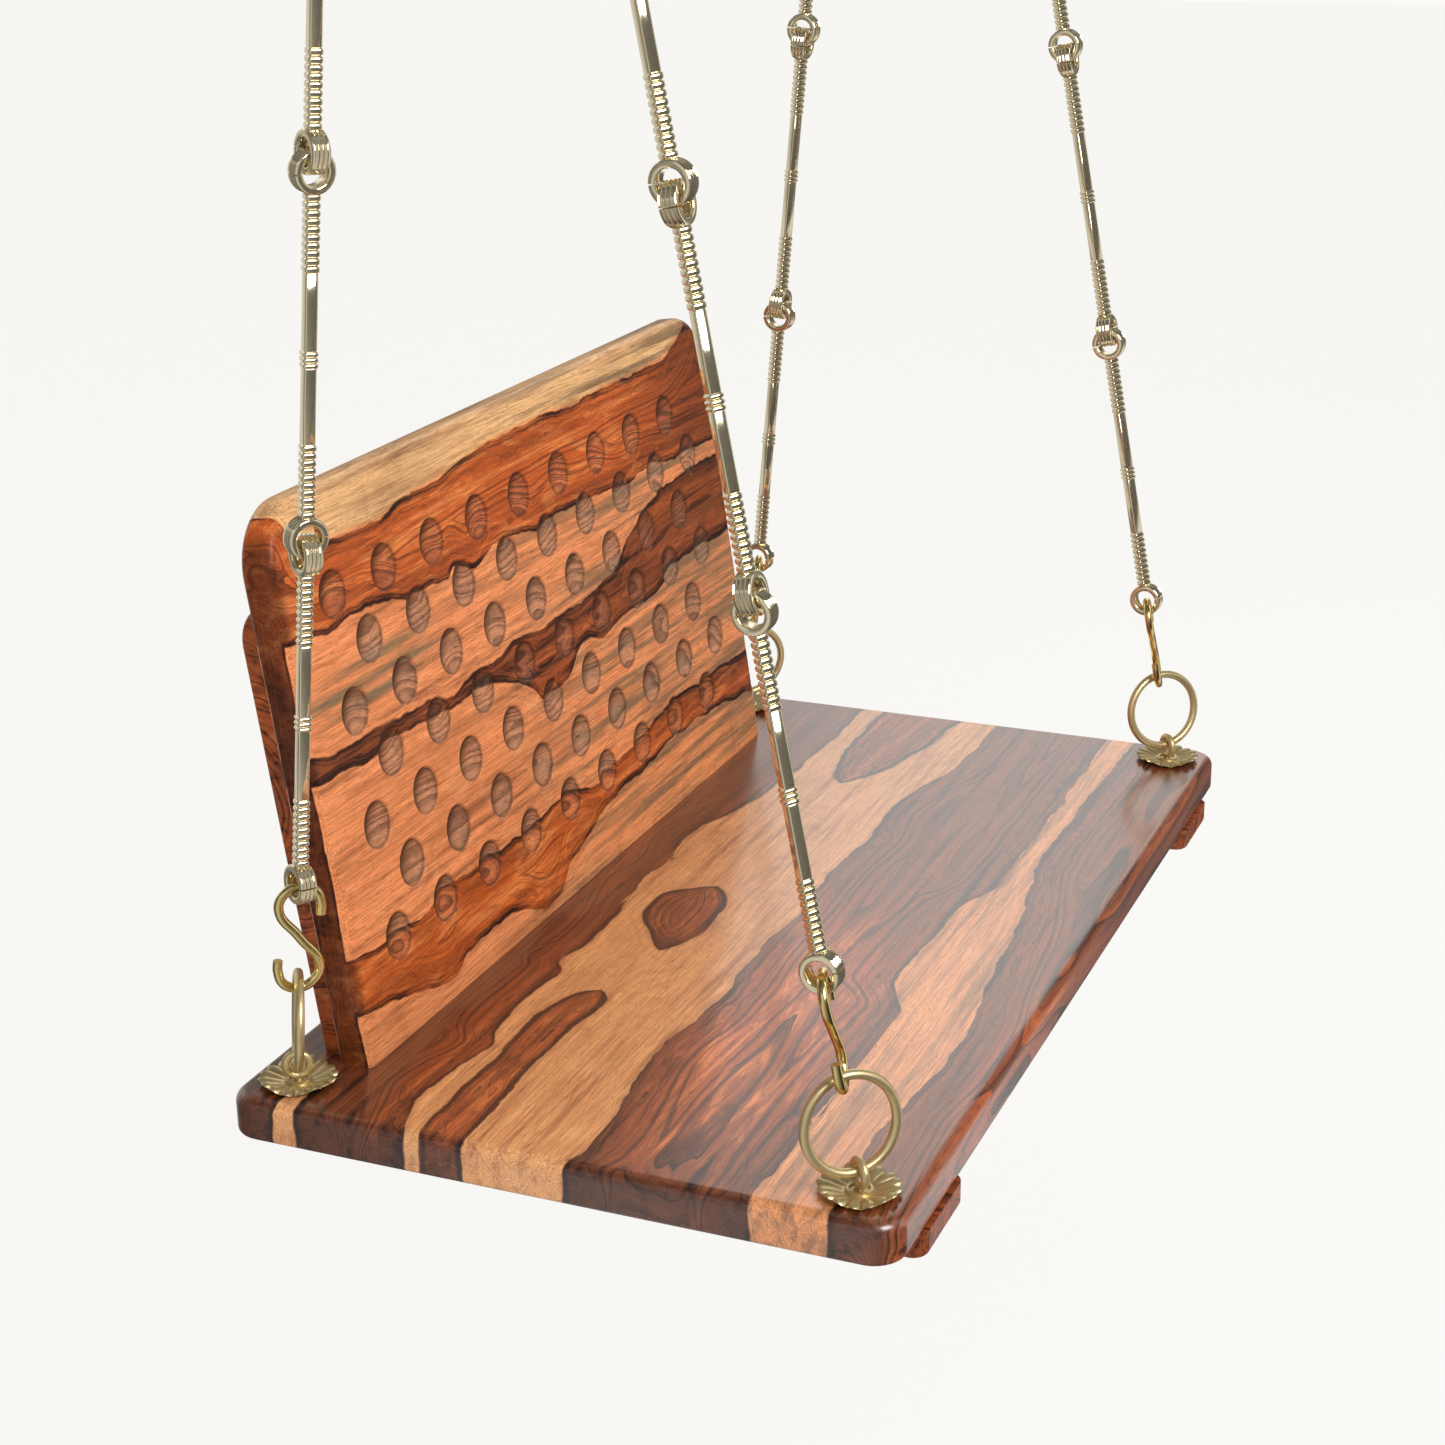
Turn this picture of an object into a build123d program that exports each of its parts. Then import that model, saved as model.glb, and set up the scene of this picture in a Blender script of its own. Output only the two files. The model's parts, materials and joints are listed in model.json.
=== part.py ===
"""Porch swing: a plank seat with a scooped backrest, hung by four brass link chains from two ceiling hooks.

The origin is on the ceiling, midway between the two hooks. +X runs to the right as seen from in front,
+Y to the backrest and +Z up. Left and right are named as seen from in front.
"""
import os
from math import cos, radians, sin, sqrt

from build123d import *

# Seat, in millimetres
seat_length = 942.0
front_plank_width = 100.5
mid_front_plank_width = 132.5
mid_back_plank_width = 149.0
back_plank_width = 126.0
seat_thickness = 32.0
seat_corner_radius = 24.0
seat_edge_radius = 9.0
seat_under_bevel = 4.0

# Backrest, leaning on its own foot, with its ends clear of the chains
back_end_gap = 49.0
back_height = 418.0
back_thickness = 28.0
back_lean = 8.2
back_foot_inset = 80.0
back_shift = -15.5
back_corner_radius = 50.0
back_edge_radius = 9.0
back_plank_count = 5

# Scooped hollows in the backrest's front
scoop_diameter = 39.0
scoop_depth = 6.0
scoop_end_margin = 70.55
scoop_pitch_up = 43.9
scoop_columns = 9
scoop_rows = 7
lowest_scoop_height = 76.0
scoop_floor_share = 0.9

# Cleats under the seat and battens behind the backrest
cleat_width = 90.0
cleat_thickness = 19.0
cleat_end_inset = 94.0
cleat_overhang = 3.0
cleat_corner_radius = 12.0
batten_width = 90.0
batten_thickness = 19.0
batten_height = 340.0
batten_end_inset = 58.5
batten_corner_radius = 22.0

# Eye bolts, rosettes, washers and nuts
eye_inset = 39.5
eye_wire = 5.8
eye_loop = 17.4
eye_loop_height = 13.5
eye_shank = 6.0
shank_play = 0.3
rosette_diameter = 58.0
rosette_sheet = 1.2
rosette_rise = 4.5
rosette_flat_diameter = 20.0
rosette_lip_diameter = 19.0
rosette_lip_wall = 2.6
rosette_lip_height = 2.6
petal_notch = 3.4
notch_turn = 45.0
washer_diameter = 17.0
washer_thickness = 1.6
nut_across_flats = 10.0
nut_thickness = 5.0
thread_end = 3.0

# Rings and S hooks
ring_diameter = 68.0
ring_wire = 7.0
hook_wire = 7.0
hook_loop = 31.0
hook_height = 80.0
hook_tip = 8.0
hook_bend_run = 7.0
hook_turn_play = 0.7
upper_hook_spacing = 11.4
run_gap = 0.55

# Flat facets that stand for round on the many small metal pieces
wire_sides = 6
ring_facets = 14
top_ring_facets = 15
loop_facets = 12
bend_facets = 6
eye_facets = 8
scoop_facets = 8
petal_facets = 16
staple_facets = 3

# Chain links
link_count = 5
link_centres = 241.9
link_eye = 29.0
link_bore = 18.0
link_eye_width = 13.0
link_slit = 1.6
link_bar = 8.5
link_sleeve = 9.8
link_sleeve_length = 50.0
link_band = 10.4
link_band_length = 11.6
link_gap = 0.35

# Turn of each chain's pieces about its own line, in degrees from the seat's length
link_turn = {"front_left": 88.0, "back_left": 58.0, "front_right": 88.0, "back_right": 88.0}
hook_turn = {"front_left": 16.0, "back_left": -42.0, "front_right": 14.0, "back_right": 16.0}
ring_turn = {"front_left": -43.0, "back_left": 33.0, "front_right": -45.0, "back_right": -43.0}

# Ceiling hooks, set back so that the seat hangs level
hook_set_back = 68.0
plate_length = 110.0
plate_width = 64.0
plate_thickness = 5.0
plate_corner = 8.0
plate_hole = 8.5
plate_hole_spacing = 80.0
staple_bar = 10.0
staple_width = 44.0
staple_drop = 40.0
staple_bend = 14.0

# Sizes that follow from the driving ones
seat_depth = front_plank_width + mid_front_plank_width + mid_back_plank_width + back_plank_width
eye_x = seat_length / 2 - eye_inset
eye_y = seat_depth / 2 - eye_inset
back_foot = seat_depth / 2 - back_foot_inset
back_length = 2 * (eye_x - back_end_gap)
cleat_centre = seat_length / 2 - cleat_end_inset
batten_centre = back_length / 2 - batten_end_inset

# Hollows: every other row is half a pitch along, so that a row's ends differ by half a pitch
scoop_radius = (scoop_diameter**2 / 4 + scoop_depth**2) / (2 * scoop_depth)
scoop_pitch_along = (back_length - 2 * scoop_end_margin) / (scoop_columns - 1 / 2)

# Heights of the swing line and of the wire on which the upper hooks hang
pivot_height = -plate_thickness - staple_drop
top_ring_centre = pivot_height + staple_bar / 2 + run_gap + ring_wire / 2 - ring_diameter / 2
hook_spread = upper_hook_spacing / 2
ring_climb = ring_diameter / 2 - sqrt((ring_diameter / 2) ** 2 - hook_spread**2)
chain_top = top_ring_centre - ring_diameter / 2 + ring_climb

# Distances up each chain from the lowest point of its seat ring's wire
wire_step = ring_wire / 2 + run_gap + hook_wire / 2
hook_inside = hook_loop / 2 - hook_wire / 2
hook_sag = hook_inside - sqrt(hook_inside**2 - (link_eye_width / 2) ** 2)
hook_from_eye = link_bore / 2 - hook_sag - run_gap - hook_wire / 2
link_step = link_centres + 2 * sqrt((link_bore / 2) ** 2 - (link_eye_width / 2) ** 2) - link_gap
lower_hook_start = ring_diameter - wire_step
first_eye = lower_hook_start + hook_height + hook_from_eye - hook_turn_play
last_eye = first_eye + (link_count - 1) * link_step + link_centres
upper_hook_start = last_eye + hook_from_eye

# Rise of the back chains, which set the seat's height, while the front ones get longer upper hooks
back_chain_reach = eye_y - hook_set_back - hook_spread
back_chain_length = upper_hook_start + hook_height - wire_step
chain_rise = sqrt(back_chain_length**2 - back_chain_reach**2)
chain_foot = chain_top - chain_rise
eye_hold = eye_loop / 2 - eye_wire / 2 - run_gap - ring_wire / 2
seat_top = chain_foot - eye_hold - eye_loop_height

# Frame of the seat, at the middle of its top
seat = Plane(origin=(0, -hook_set_back, seat_top), x_dir=(1, 0, 0), z_dir=(0, 0, 1))

corners = {
    "front_left": (-1, -1),
    "back_left": (-1, 1),
    "front_right": (1, -1),
    "back_right": (1, 1),
}
sides = {"left": -1, "right": 1}
eye_spots = [(along * eye_x, across * eye_y) for along, across in corners.values()]


def within(frame, plane):
    """Places a plane that is given in another frame."""
    return Plane(frame.location * plane.location)


def save(piece, name):
    """Labels a finished piece and writes its file."""
    piece.part.label = name
    export_step(piece.part, f"parts/{name}.step")


def bent_wire(points, thickness, closed=False):
    """Bends a wire of few flat sides along a run of points."""
    with BuildPart() as wire:
        with BuildLine() as path:
            Polyline(*points, close=closed)
        with BuildSketch(Plane(origin=path.wire() @ 0, z_dir=path.wire() % 0)):
            RegularPolygon(thickness / 2, wire_sides)
        sweep(path=path.wire(), transition=Transition.RIGHT)
    return wire


def hoop(frame, diameter, thickness, facets):
    """Makes one closed ring of wire, flat in a frame's x and y, with a corner of its run on the x axis."""
    turns = [360 * number / facets for number in range(facets)]
    run = [
        Vector(diameter / 2 * cos(radians(turn)), diameter / 2 * sin(radians(turn)), 0) for turn in turns
    ]
    middle = (run[0] + run[-1]) / 2
    return bent_wire([frame.from_local_coords(spot) for spot in [middle, *run]], thickness, closed=True)


def frustum(frame, low_reach, high_reach, height, facets):
    """Makes a cone of flat facets that opens upwards from a frame, with a given reach at foot and head."""
    with BuildPart() as cone:
        with BuildSketch(frame):
            RegularPolygon(high_reach, facets, major_radius=False)
        extrude(amount=height)
        for number in range(facets):
            turn = radians(360 * (number + 0.5) / facets)
            out = Vector(cos(turn), sin(turn), 0)
            facet = Plane(out * low_reach, z_dir=out * height - Vector(0, 0, high_reach - low_reach))
            split(bisect_by=within(frame, facet), keep=Keep.BOTTOM)
    return cone


def seat_plank(front_edge, back_edge):
    """Cuts one plank, between two lines along the seat, from the rounded slab of the whole seat."""
    with BuildPart() as plank:
        with BuildSketch(within(seat, Plane.XY.offset(-seat_thickness))):
            RectangleRounded(seat_length, seat_depth, seat_corner_radius)
        extrude(amount=seat_thickness)
        level = plank.faces().sort_by(Axis.Z)
        fillet(level[-1].edges(), radius=seat_edge_radius)
        chamfer(level[0].edges(), length=seat_under_bevel)
        with BuildSketch(seat):
            with Locations(*eye_spots):
                RegularPolygon(eye_shank / 2 + shank_play, wire_sides)
        extrude(amount=-seat_thickness, mode=Mode.SUBTRACT)
        with BuildSketch(seat):
            with Locations((0, (front_edge + back_edge) / 2)):
                Rectangle(seat_length, back_edge - front_edge)
        extrude(amount=-seat_thickness, mode=Mode.INTERSECT)
    return plank


# Frame of the backrest's front, its x along the seat and its y up the slope
lean = radians(back_lean)
back_front = within(
    seat, Plane(origin=(back_shift, back_foot, 0), x_dir=(1, 0, 0), z_dir=(0, -cos(lean), sin(lean)))
)
foot_drop = (back_thickness + batten_thickness) * sin(lean) + back_edge_radius


def scoop_spots(low, high):
    """Gives the centres of the hollows that reach between two heights, with every other row shifted."""
    spots = []
    for row in range(scoop_rows):
        height = lowest_scoop_height + row * scoop_pitch_up
        if low - scoop_diameter / 2 < height < high + scoop_diameter / 2:
            shift = scoop_pitch_along / 4 if row % 2 else -scoop_pitch_along / 4
            first = shift - (scoop_columns - 1) * scoop_pitch_along / 2
            spots += [(first + column * scoop_pitch_along, height) for column in range(scoop_columns)]
    return spots


def scoop_cutter():
    """Makes the faceted cap of a ball that hollows one scoop, its rim at the origin and its floor below."""
    floor = scoop_depth * scoop_floor_share
    floor_reach = sqrt(scoop_radius**2 - (scoop_radius - scoop_depth + floor) ** 2)
    return frustum(Plane.XY.offset(-floor), floor_reach, scoop_diameter / 2, floor, scoop_facets)


def back_plank(low, high):
    """Cuts one scooped plank, between two heights, from the rounded slab of the whole backrest."""
    with BuildPart() as plank:
        with BuildSketch(back_front) as outline:
            with Locations((0, (back_height - foot_drop) / 2)):
                Rectangle(back_length, back_height + foot_drop)
            fillet(outline.vertices().group_by(Axis.Y)[-1], radius=back_corner_radius)
        extrude(amount=-back_thickness)
        flats = plank.faces().filter_by(Axis(back_front.origin, back_front.z_dir))
        rims = [edge for edge in flats.edges() if edge.bounding_box().max.Z > seat_top]
        fillet(rims, radius=back_edge_radius)
        with BuildSketch(back_front):
            with Locations((0, (low + high) / 2)):
                Rectangle(back_length, high - low)
        extrude(amount=-back_thickness, mode=Mode.INTERSECT)
        split(bisect_by=seat, keep=Keep.TOP)
        for spot in scoop_spots(low, high):
            add(scoop.part.moved(within(back_front, Plane((*spot, 0))).location), mode=Mode.SUBTRACT)
    return plank


def batten(side):
    """Makes one batten that stands on the seat and stiffens the backrest from behind."""
    with BuildPart() as strip:
        with BuildSketch(back_front.offset(-back_thickness)) as outline:
            with Locations((side * batten_centre, (batten_height - foot_drop) / 2)):
                Rectangle(batten_width, batten_height + foot_drop)
            fillet(outline.vertices().group_by(Axis.Y)[-1], radius=batten_corner_radius)
        extrude(amount=-batten_thickness)
        split(bisect_by=seat, keep=Keep.TOP)
    return strip


def cleat(side):
    """Makes one cleat that ties the seat's planks together from below."""
    with BuildPart() as strip:
        with BuildSketch(within(seat, Plane.XY.offset(-seat_thickness))):
            with Locations((side * cleat_centre, 0)):
                RectangleRounded(cleat_width, seat_depth + 2 * cleat_overhang, cleat_corner_radius)
        extrude(amount=-cleat_thickness)
    return strip


def eye_bolt(spot, turn):
    """Makes one eye bolt: a loop of wire over a shank that goes down through the seat."""
    shank_foot = -seat_thickness - washer_thickness - nut_thickness - thread_end
    loop_foot = eye_loop_height - eye_loop / 2
    across = (-sin(radians(turn)), cos(radians(turn)), 0)
    frame = within(seat, Plane((*spot, eye_loop_height), x_dir=(0, 0, 1), z_dir=across))
    loop = hoop(frame, eye_loop, eye_wire, loop_facets)
    with BuildPart() as bolt:
        add(loop.part)
        with BuildSketch(within(seat, Plane((*spot, shank_foot)))):
            RegularPolygon(eye_shank / 2, wire_sides)
        extrude(amount=loop_foot - shank_foot)
    return bolt


def rosettes():
    """Presses the four flower plates that sit under the eye loops, dished with their rims off the seat."""
    rim = rosette_diameter / 2
    flat = rosette_flat_diameter / 2
    lip = rosette_lip_diameter / 2
    rim_height = rosette_rise + rosette_sheet
    with BuildPart() as plates:
        for spot in eye_spots:
            for step, mode in [(0, Mode.ADD), (rosette_sheet, Mode.SUBTRACT)]:
                foot = within(seat, Plane((*spot, step)))
                add(frustum(foot, flat, rim, rim_height - step, petal_facets).part, mode=mode)
            with BuildSketch(within(seat, Plane((*spot, 0)))):
                RegularPolygon(lip, eye_facets)
            extrude(amount=rosette_lip_height)
            with BuildSketch(within(seat, Plane((*spot, rosette_sheet)))):
                RegularPolygon(lip - rosette_lip_wall, eye_facets)
            extrude(amount=rosette_lip_height, mode=Mode.SUBTRACT)
            with BuildSketch(within(seat, Plane((*spot, 0)))):
                RegularPolygon(eye_shank / 2 + shank_play, wire_sides)
                with PolarLocations(rim, petal_facets):
                    Rectangle(petal_notch, petal_notch, rotation=notch_turn)
            extrude(amount=rim_height, mode=Mode.SUBTRACT)
    return plates


def washers():
    """Makes the four washers under the seat."""
    with BuildPart() as discs:
        with BuildSketch(within(seat, Plane.XY.offset(-seat_thickness))):
            with Locations(*eye_spots):
                RegularPolygon(washer_diameter / 2, eye_facets)
                RegularPolygon(eye_shank / 2 + shank_play, wire_sides, mode=Mode.SUBTRACT)
        extrude(amount=-washer_thickness)
    return discs


def nuts():
    """Makes the four nuts under the washers."""
    with BuildPart() as hexagons:
        with BuildSketch(within(seat, Plane.XY.offset(-seat_thickness - washer_thickness))):
            with Locations(*eye_spots):
                RegularPolygon(nut_across_flats / 2, 6, major_radius=False)
                RegularPolygon(eye_shank / 2, wire_sides, mode=Mode.SUBTRACT)
        extrude(amount=-nut_thickness)
    return hexagons


def s_hook(chain, start, height, low_turn, high_turn):
    """Bends one S hook about a chain's line, with each of its two loops turned about that line."""
    radius = hook_loop / 2
    low = start + radius
    high = start + height - radius

    def spot(reach, turn, rise):
        return chain.from_local_coords((reach * cos(radians(turn)), reach * sin(radians(turn)), rise))

    bends = [radians(180 * number / bend_facets) for number in range(bend_facets + 1)]
    run = [spot(-radius, low_turn, low + hook_tip)]
    run += [spot(-radius * cos(bend), low_turn, low - radius * sin(bend)) for bend in bends]
    run += [spot(radius, low_turn, low + hook_bend_run), spot(-radius, high_turn, high - hook_bend_run)]
    run += [spot(-radius * cos(bend), high_turn, high + radius * sin(bend)) for bend in bends]
    run += [spot(radius, high_turn, high - hook_tip)]
    return bent_wire(run, hook_wire)


def chain_link():
    """Forges one link: a square bar with collars, its two ends bent round into eyes across the x axis."""
    bar_start = link_eye / 2 - (link_eye - link_bore) / 4
    sleeve_end = link_eye / 2 + link_sleeve_length
    band_start = (link_centres - link_band_length) / 2
    stretches = [
        (link_sleeve, bar_start, sleeve_end),
        (link_bar, sleeve_end, band_start),
        (link_band, band_start, link_centres - band_start),
        (link_bar, link_centres - band_start, link_centres - sleeve_end),
        (link_sleeve, link_centres - sleeve_end, link_centres - bar_start),
    ]
    eyes = [(0, 0), (0, link_centres)]
    with BuildPart() as link:
        with BuildSketch(Plane.YZ):
            with Locations(*eyes):
                RegularPolygon(link_eye / 2, eye_facets)
        extrude(amount=link_eye_width / 2, both=True)
        for side, low, high in stretches:
            with BuildSketch(Plane.XY.offset(low)):
                Rectangle(side, side)
            extrude(amount=high - low)
        with BuildSketch(Plane.YZ):
            with Locations(*eyes):
                RegularPolygon(link_bore / 2, eye_facets, major_radius=False)
            with Locations((link_eye / 2, 0), (-link_eye / 2, link_centres)):
                Rectangle(link_eye, link_slit)
        extrude(amount=link_eye_width / 2, both=True, mode=Mode.SUBTRACT)
    return link


def ceiling_hook(side):
    """Makes one ceiling plate with the staple that carries a pair of chains."""
    middle = side * eye_x
    leg = staple_width / 2
    bends = [radians(90 * number / staple_facets) for number in range(staple_facets + 1)]
    right = [
        (leg - staple_bend * (1 - sin(bend)), pivot_height + staple_bend * (1 - cos(bend))) for bend in bends
    ]
    right.append((leg, -plate_thickness / 2))
    run = [(middle - x, 0, z) for x, z in reversed(right)] + [(middle + x, 0, z) for x, z in right]
    staple = bent_wire(run, staple_bar)
    with BuildPart() as hook:
        with BuildSketch(Plane.XY) as outline:
            with Locations((middle, 0)):
                Rectangle(plate_width, plate_length)
            chamfer(outline.vertices(), length=plate_corner)
            with Locations((middle, -plate_hole_spacing / 2), (middle, plate_hole_spacing / 2)):
                Circle(plate_hole / 2, mode=Mode.SUBTRACT)
        extrude(amount=-plate_thickness)
        add(staple.part)
    return hook


os.makedirs("parts", exist_ok=True)

# Seat planks, from the front edge to the back edge
edge = -seat_depth / 2
for name, width in [
    ("front", front_plank_width),
    ("mid_front", mid_front_plank_width),
    ("mid_back", mid_back_plank_width),
    ("back", back_plank_width),
]:
    save(seat_plank(edge, edge + width), f"seat_plank_{name}")
    edge += width

# Backrest planks, from the seat up
scoop = scoop_cutter()
back_plank_width_up = back_height / back_plank_count
for number in range(back_plank_count):
    low_edge = number * back_plank_width_up if number else -foot_drop
    save(back_plank(low_edge, (number + 1) * back_plank_width_up), f"back_plank_{number + 1}")

for name, side in sides.items():
    save(batten(side), f"batten_{name}")
    save(cleat(side), f"cleat_{name}")
    save(ceiling_hook(side), f"ceiling_hook_{name}")
    hoop_frame = Plane((side * eye_x, 0, top_ring_centre), x_dir=(0, 0, 1), z_dir=(1, 0, 0))
    save(hoop(hoop_frame, ring_diameter, ring_wire, top_ring_facets), f"top_ring_{name}")

save(rosettes(), "rosettes")
save(washers(), "washers")
save(nuts(), "nuts")

# Chains, each from its eye bolt up to the top ring
link = chain_link()
for name, (along, across) in corners.items():
    foot = Vector(along * eye_x, across * eye_y - hook_set_back, chain_foot)
    head = Vector(along * eye_x, across * hook_spread, chain_top)
    chain = Plane(origin=foot, x_dir=(1, 0, 0), z_dir=head - foot)
    lengthening = (head - foot).length - back_chain_length

    save(eye_bolt((along * eye_x, across * eye_y), ring_turn[name] + 90), f"eye_bolt_{name}")

    ring_across = (-sin(radians(ring_turn[name])), cos(radians(ring_turn[name])), 0)
    hoop_frame = within(chain, Plane((0, 0, ring_diameter / 2), x_dir=(0, 0, 1), z_dir=ring_across))
    save(hoop(hoop_frame, ring_diameter, ring_wire, ring_facets), f"seat_ring_{name}")

    lower_turn = hook_turn[name]
    save(s_hook(chain, lower_hook_start, hook_height, lower_turn, lower_turn), f"lower_hook_{name}")

    for number in range(link_count):
        axis_turn = radians(link_turn[name] + 90 * (number + 1))
        rise = first_eye + number * link_step
        link_frame = within(chain, Plane((0, 0, rise), x_dir=(cos(axis_turn), sin(axis_turn), 0)))
        with BuildPart() as placed:
            add(link.part.moved(link_frame.location))
        save(placed, f"link_{name}_{number + 1}")

    last_turn = link_turn[name] + 90 * link_count
    upper_height = hook_height + lengthening
    save(s_hook(chain, upper_hook_start, upper_height, last_turn, 180), f"upper_hook_{name}")
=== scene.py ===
"""Porch swing: lacquered sheesham planks, brass link chains and ceiling hooks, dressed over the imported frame."""

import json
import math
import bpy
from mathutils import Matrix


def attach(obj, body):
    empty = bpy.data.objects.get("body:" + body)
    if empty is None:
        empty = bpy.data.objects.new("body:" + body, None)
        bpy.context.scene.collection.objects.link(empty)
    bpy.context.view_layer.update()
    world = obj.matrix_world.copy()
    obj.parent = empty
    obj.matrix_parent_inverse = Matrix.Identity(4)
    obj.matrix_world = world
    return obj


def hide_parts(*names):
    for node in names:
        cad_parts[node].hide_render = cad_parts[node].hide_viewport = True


bl_info = {
    "name": "Porch Swing",
    "version": (1, 0, 0),
    "blender": (4, 5, 0),
    "location": "View3D > Sidebar > Porch Swing",
    "description": "Models the planks, chains and fittings of a porch swing over its packed frame",
    "category": "Object",
}

from contextlib import contextmanager

import bmesh
import bpy
from bpy.props import FloatProperty, FloatVectorProperty, IntProperty, PointerProperty
from mathutils import Matrix, Vector

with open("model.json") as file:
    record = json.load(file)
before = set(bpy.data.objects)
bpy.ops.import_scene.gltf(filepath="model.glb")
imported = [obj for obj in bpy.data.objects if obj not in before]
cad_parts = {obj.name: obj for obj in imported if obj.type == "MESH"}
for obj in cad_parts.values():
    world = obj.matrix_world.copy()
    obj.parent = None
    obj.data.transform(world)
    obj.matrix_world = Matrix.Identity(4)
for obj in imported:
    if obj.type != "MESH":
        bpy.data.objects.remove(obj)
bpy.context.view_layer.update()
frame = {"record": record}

MM = 0.001
Y, Z = 1, 2
# Lengths in metres that count as the same place, as nearly the same and as apart.
TOUCH, NEAR, CLEAR = 1e-6, 1e-5, 1e-4
JOINTS = {joint["name"]: joint for joint in frame["record"]["behaviour"]["joints"]}
MOUNTS = {mount["name"]: mount for mount in frame["record"]["mounts"]}
SWING_LINE = JOINTS["swing"]["pos_m"][2]
CHAIN_TOP = JOINTS["sway"]["pos_m"][2]
CHAIN_X = JOINTS["sway_right"]["pos_m"][0]
CHAIN_FOOT = JOINTS["seat_level"]["pos_m"][2]
SEAT_Y = JOINTS["seat_level"]["pos_m"][1]
SEAT_TOP = MOUNTS["seat_top"]["pos_m"][2]

CORNERS = {"front_left": (-1, -1), "back_left": (-1, 1), "front_right": (1, -1), "back_right": (1, 1)}
SIDES = {"left": -1, "right": 1}
LINK_COUNT = 5
SCOOP_ROWS, SCOOP_COLUMNS = 7, 9
# Turns in degrees about the chains: eyes, bars, hooks and rings.
LINK_TURN = {"front_left": 88, "back_left": 58, "front_right": 88, "back_right": 88}
BAR_TURN = 51
HOOK_TURN = {"front_left": 16, "back_left": -42, "front_right": 14, "back_right": 16}
RING_TURN = {"front_left": -43, "back_left": 33, "front_right": -45, "back_right": -43}

# Drawn lines of the figure, along and across from the middle of the seat's top or the backrest's foot, in millimetres.
SEAT_LINES = {
    "corner_tan_back": [(-471, 214), (-430, 206), (-405, 150), (471, 150)],
    "corner_tan_front": [(-471, 196), (471, 196)],
    "middle_tan_back": [
        (-471, 108), (-440, 116), (-406, 122), (-373, 118), (-335, 110), (-307, 119), (-262, 122), (-201, 120),
        (-178, 127), (-137, 120), (-91, 122), (-44, 129), (-10, 133), (36, 128), (87, 135), (121, 131),
        (149, 122), (263, 105), (318, 103), (375, 100), (471, 104),
    ],
    "middle_tan_front": [
        (-471, -14), (-445, -21), (-407, -20), (-364, -15), (-334, -11), (-289, -8), (-239, -16), (-185, -18),
        (-93, -13), (-37, -16), (65, -13), (139, -17), (214, -11), (268, -18), (336, -33), (471, -38),
    ],
    "front_tan_back": [
        (-471, -151), (-170, -153), (-150, -146), (-116, -133), (-47, -134), (34, -138), (70, -149), (90, -153),
        (471, -150),
    ],
    "front_tan_front": [
        (-471, -206), (-374, -201), (-334, -201), (-296, -205), (-249, -212), (-204, -212), (-158, -210),
        (-104, -202), (-46, -197), (15, -192), (61, -185), (135, -173), (216, -171), (315, -172), (471, -176),
    ],
    "streak_back": [
        (-471, 94), (-448, 99), (-412, 98), (-371, 100), (-328, 99), (-283, 101), (-240, 95), (-225, 87),
        (-217, 74), (-205, 40), (-150, -60), (471, -60),
    ],
    "streak_front": [
        (-471, 62), (-444, 63), (-414, 63), (-385, 66), (-332, 67), (-287, 67), (-257, 63), (-239, 61),
        (-225, 65), (-217, 74), (-205, 110), (-150, 210), (471, 210),
    ],
    "flame_back": [
        (-471, -60), (200, -60), (250, 35), (264, 54), (280, 66), (317, 75), (372, 79), (430, 80), (471, 79),
    ],
    "flame_front": [
        (-471, 160), (200, 160), (250, 75), (264, 52), (280, 38), (303, 28), (351, 14), (411, 6), (471, -3),
    ],
    "knot_back": [
        (-471, -60), (-190, -60), (-142, 45), (-134, 62), (-118, 77), (-100, 88), (-85, 100), (-50, 107),
        (-29, 103), (-12, 86), (0, 68), (10, 45), (60, -60), (471, -60),
    ],
    "knot_front": [
        (-471, 190), (-190, 180), (-142, 75), (-134, 61), (-110, 49), (-76, 43), (-43, 44), (-21, 51), (0, 67),
        (10, 90), (60, 190), (471, 190),
    ],
}
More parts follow.
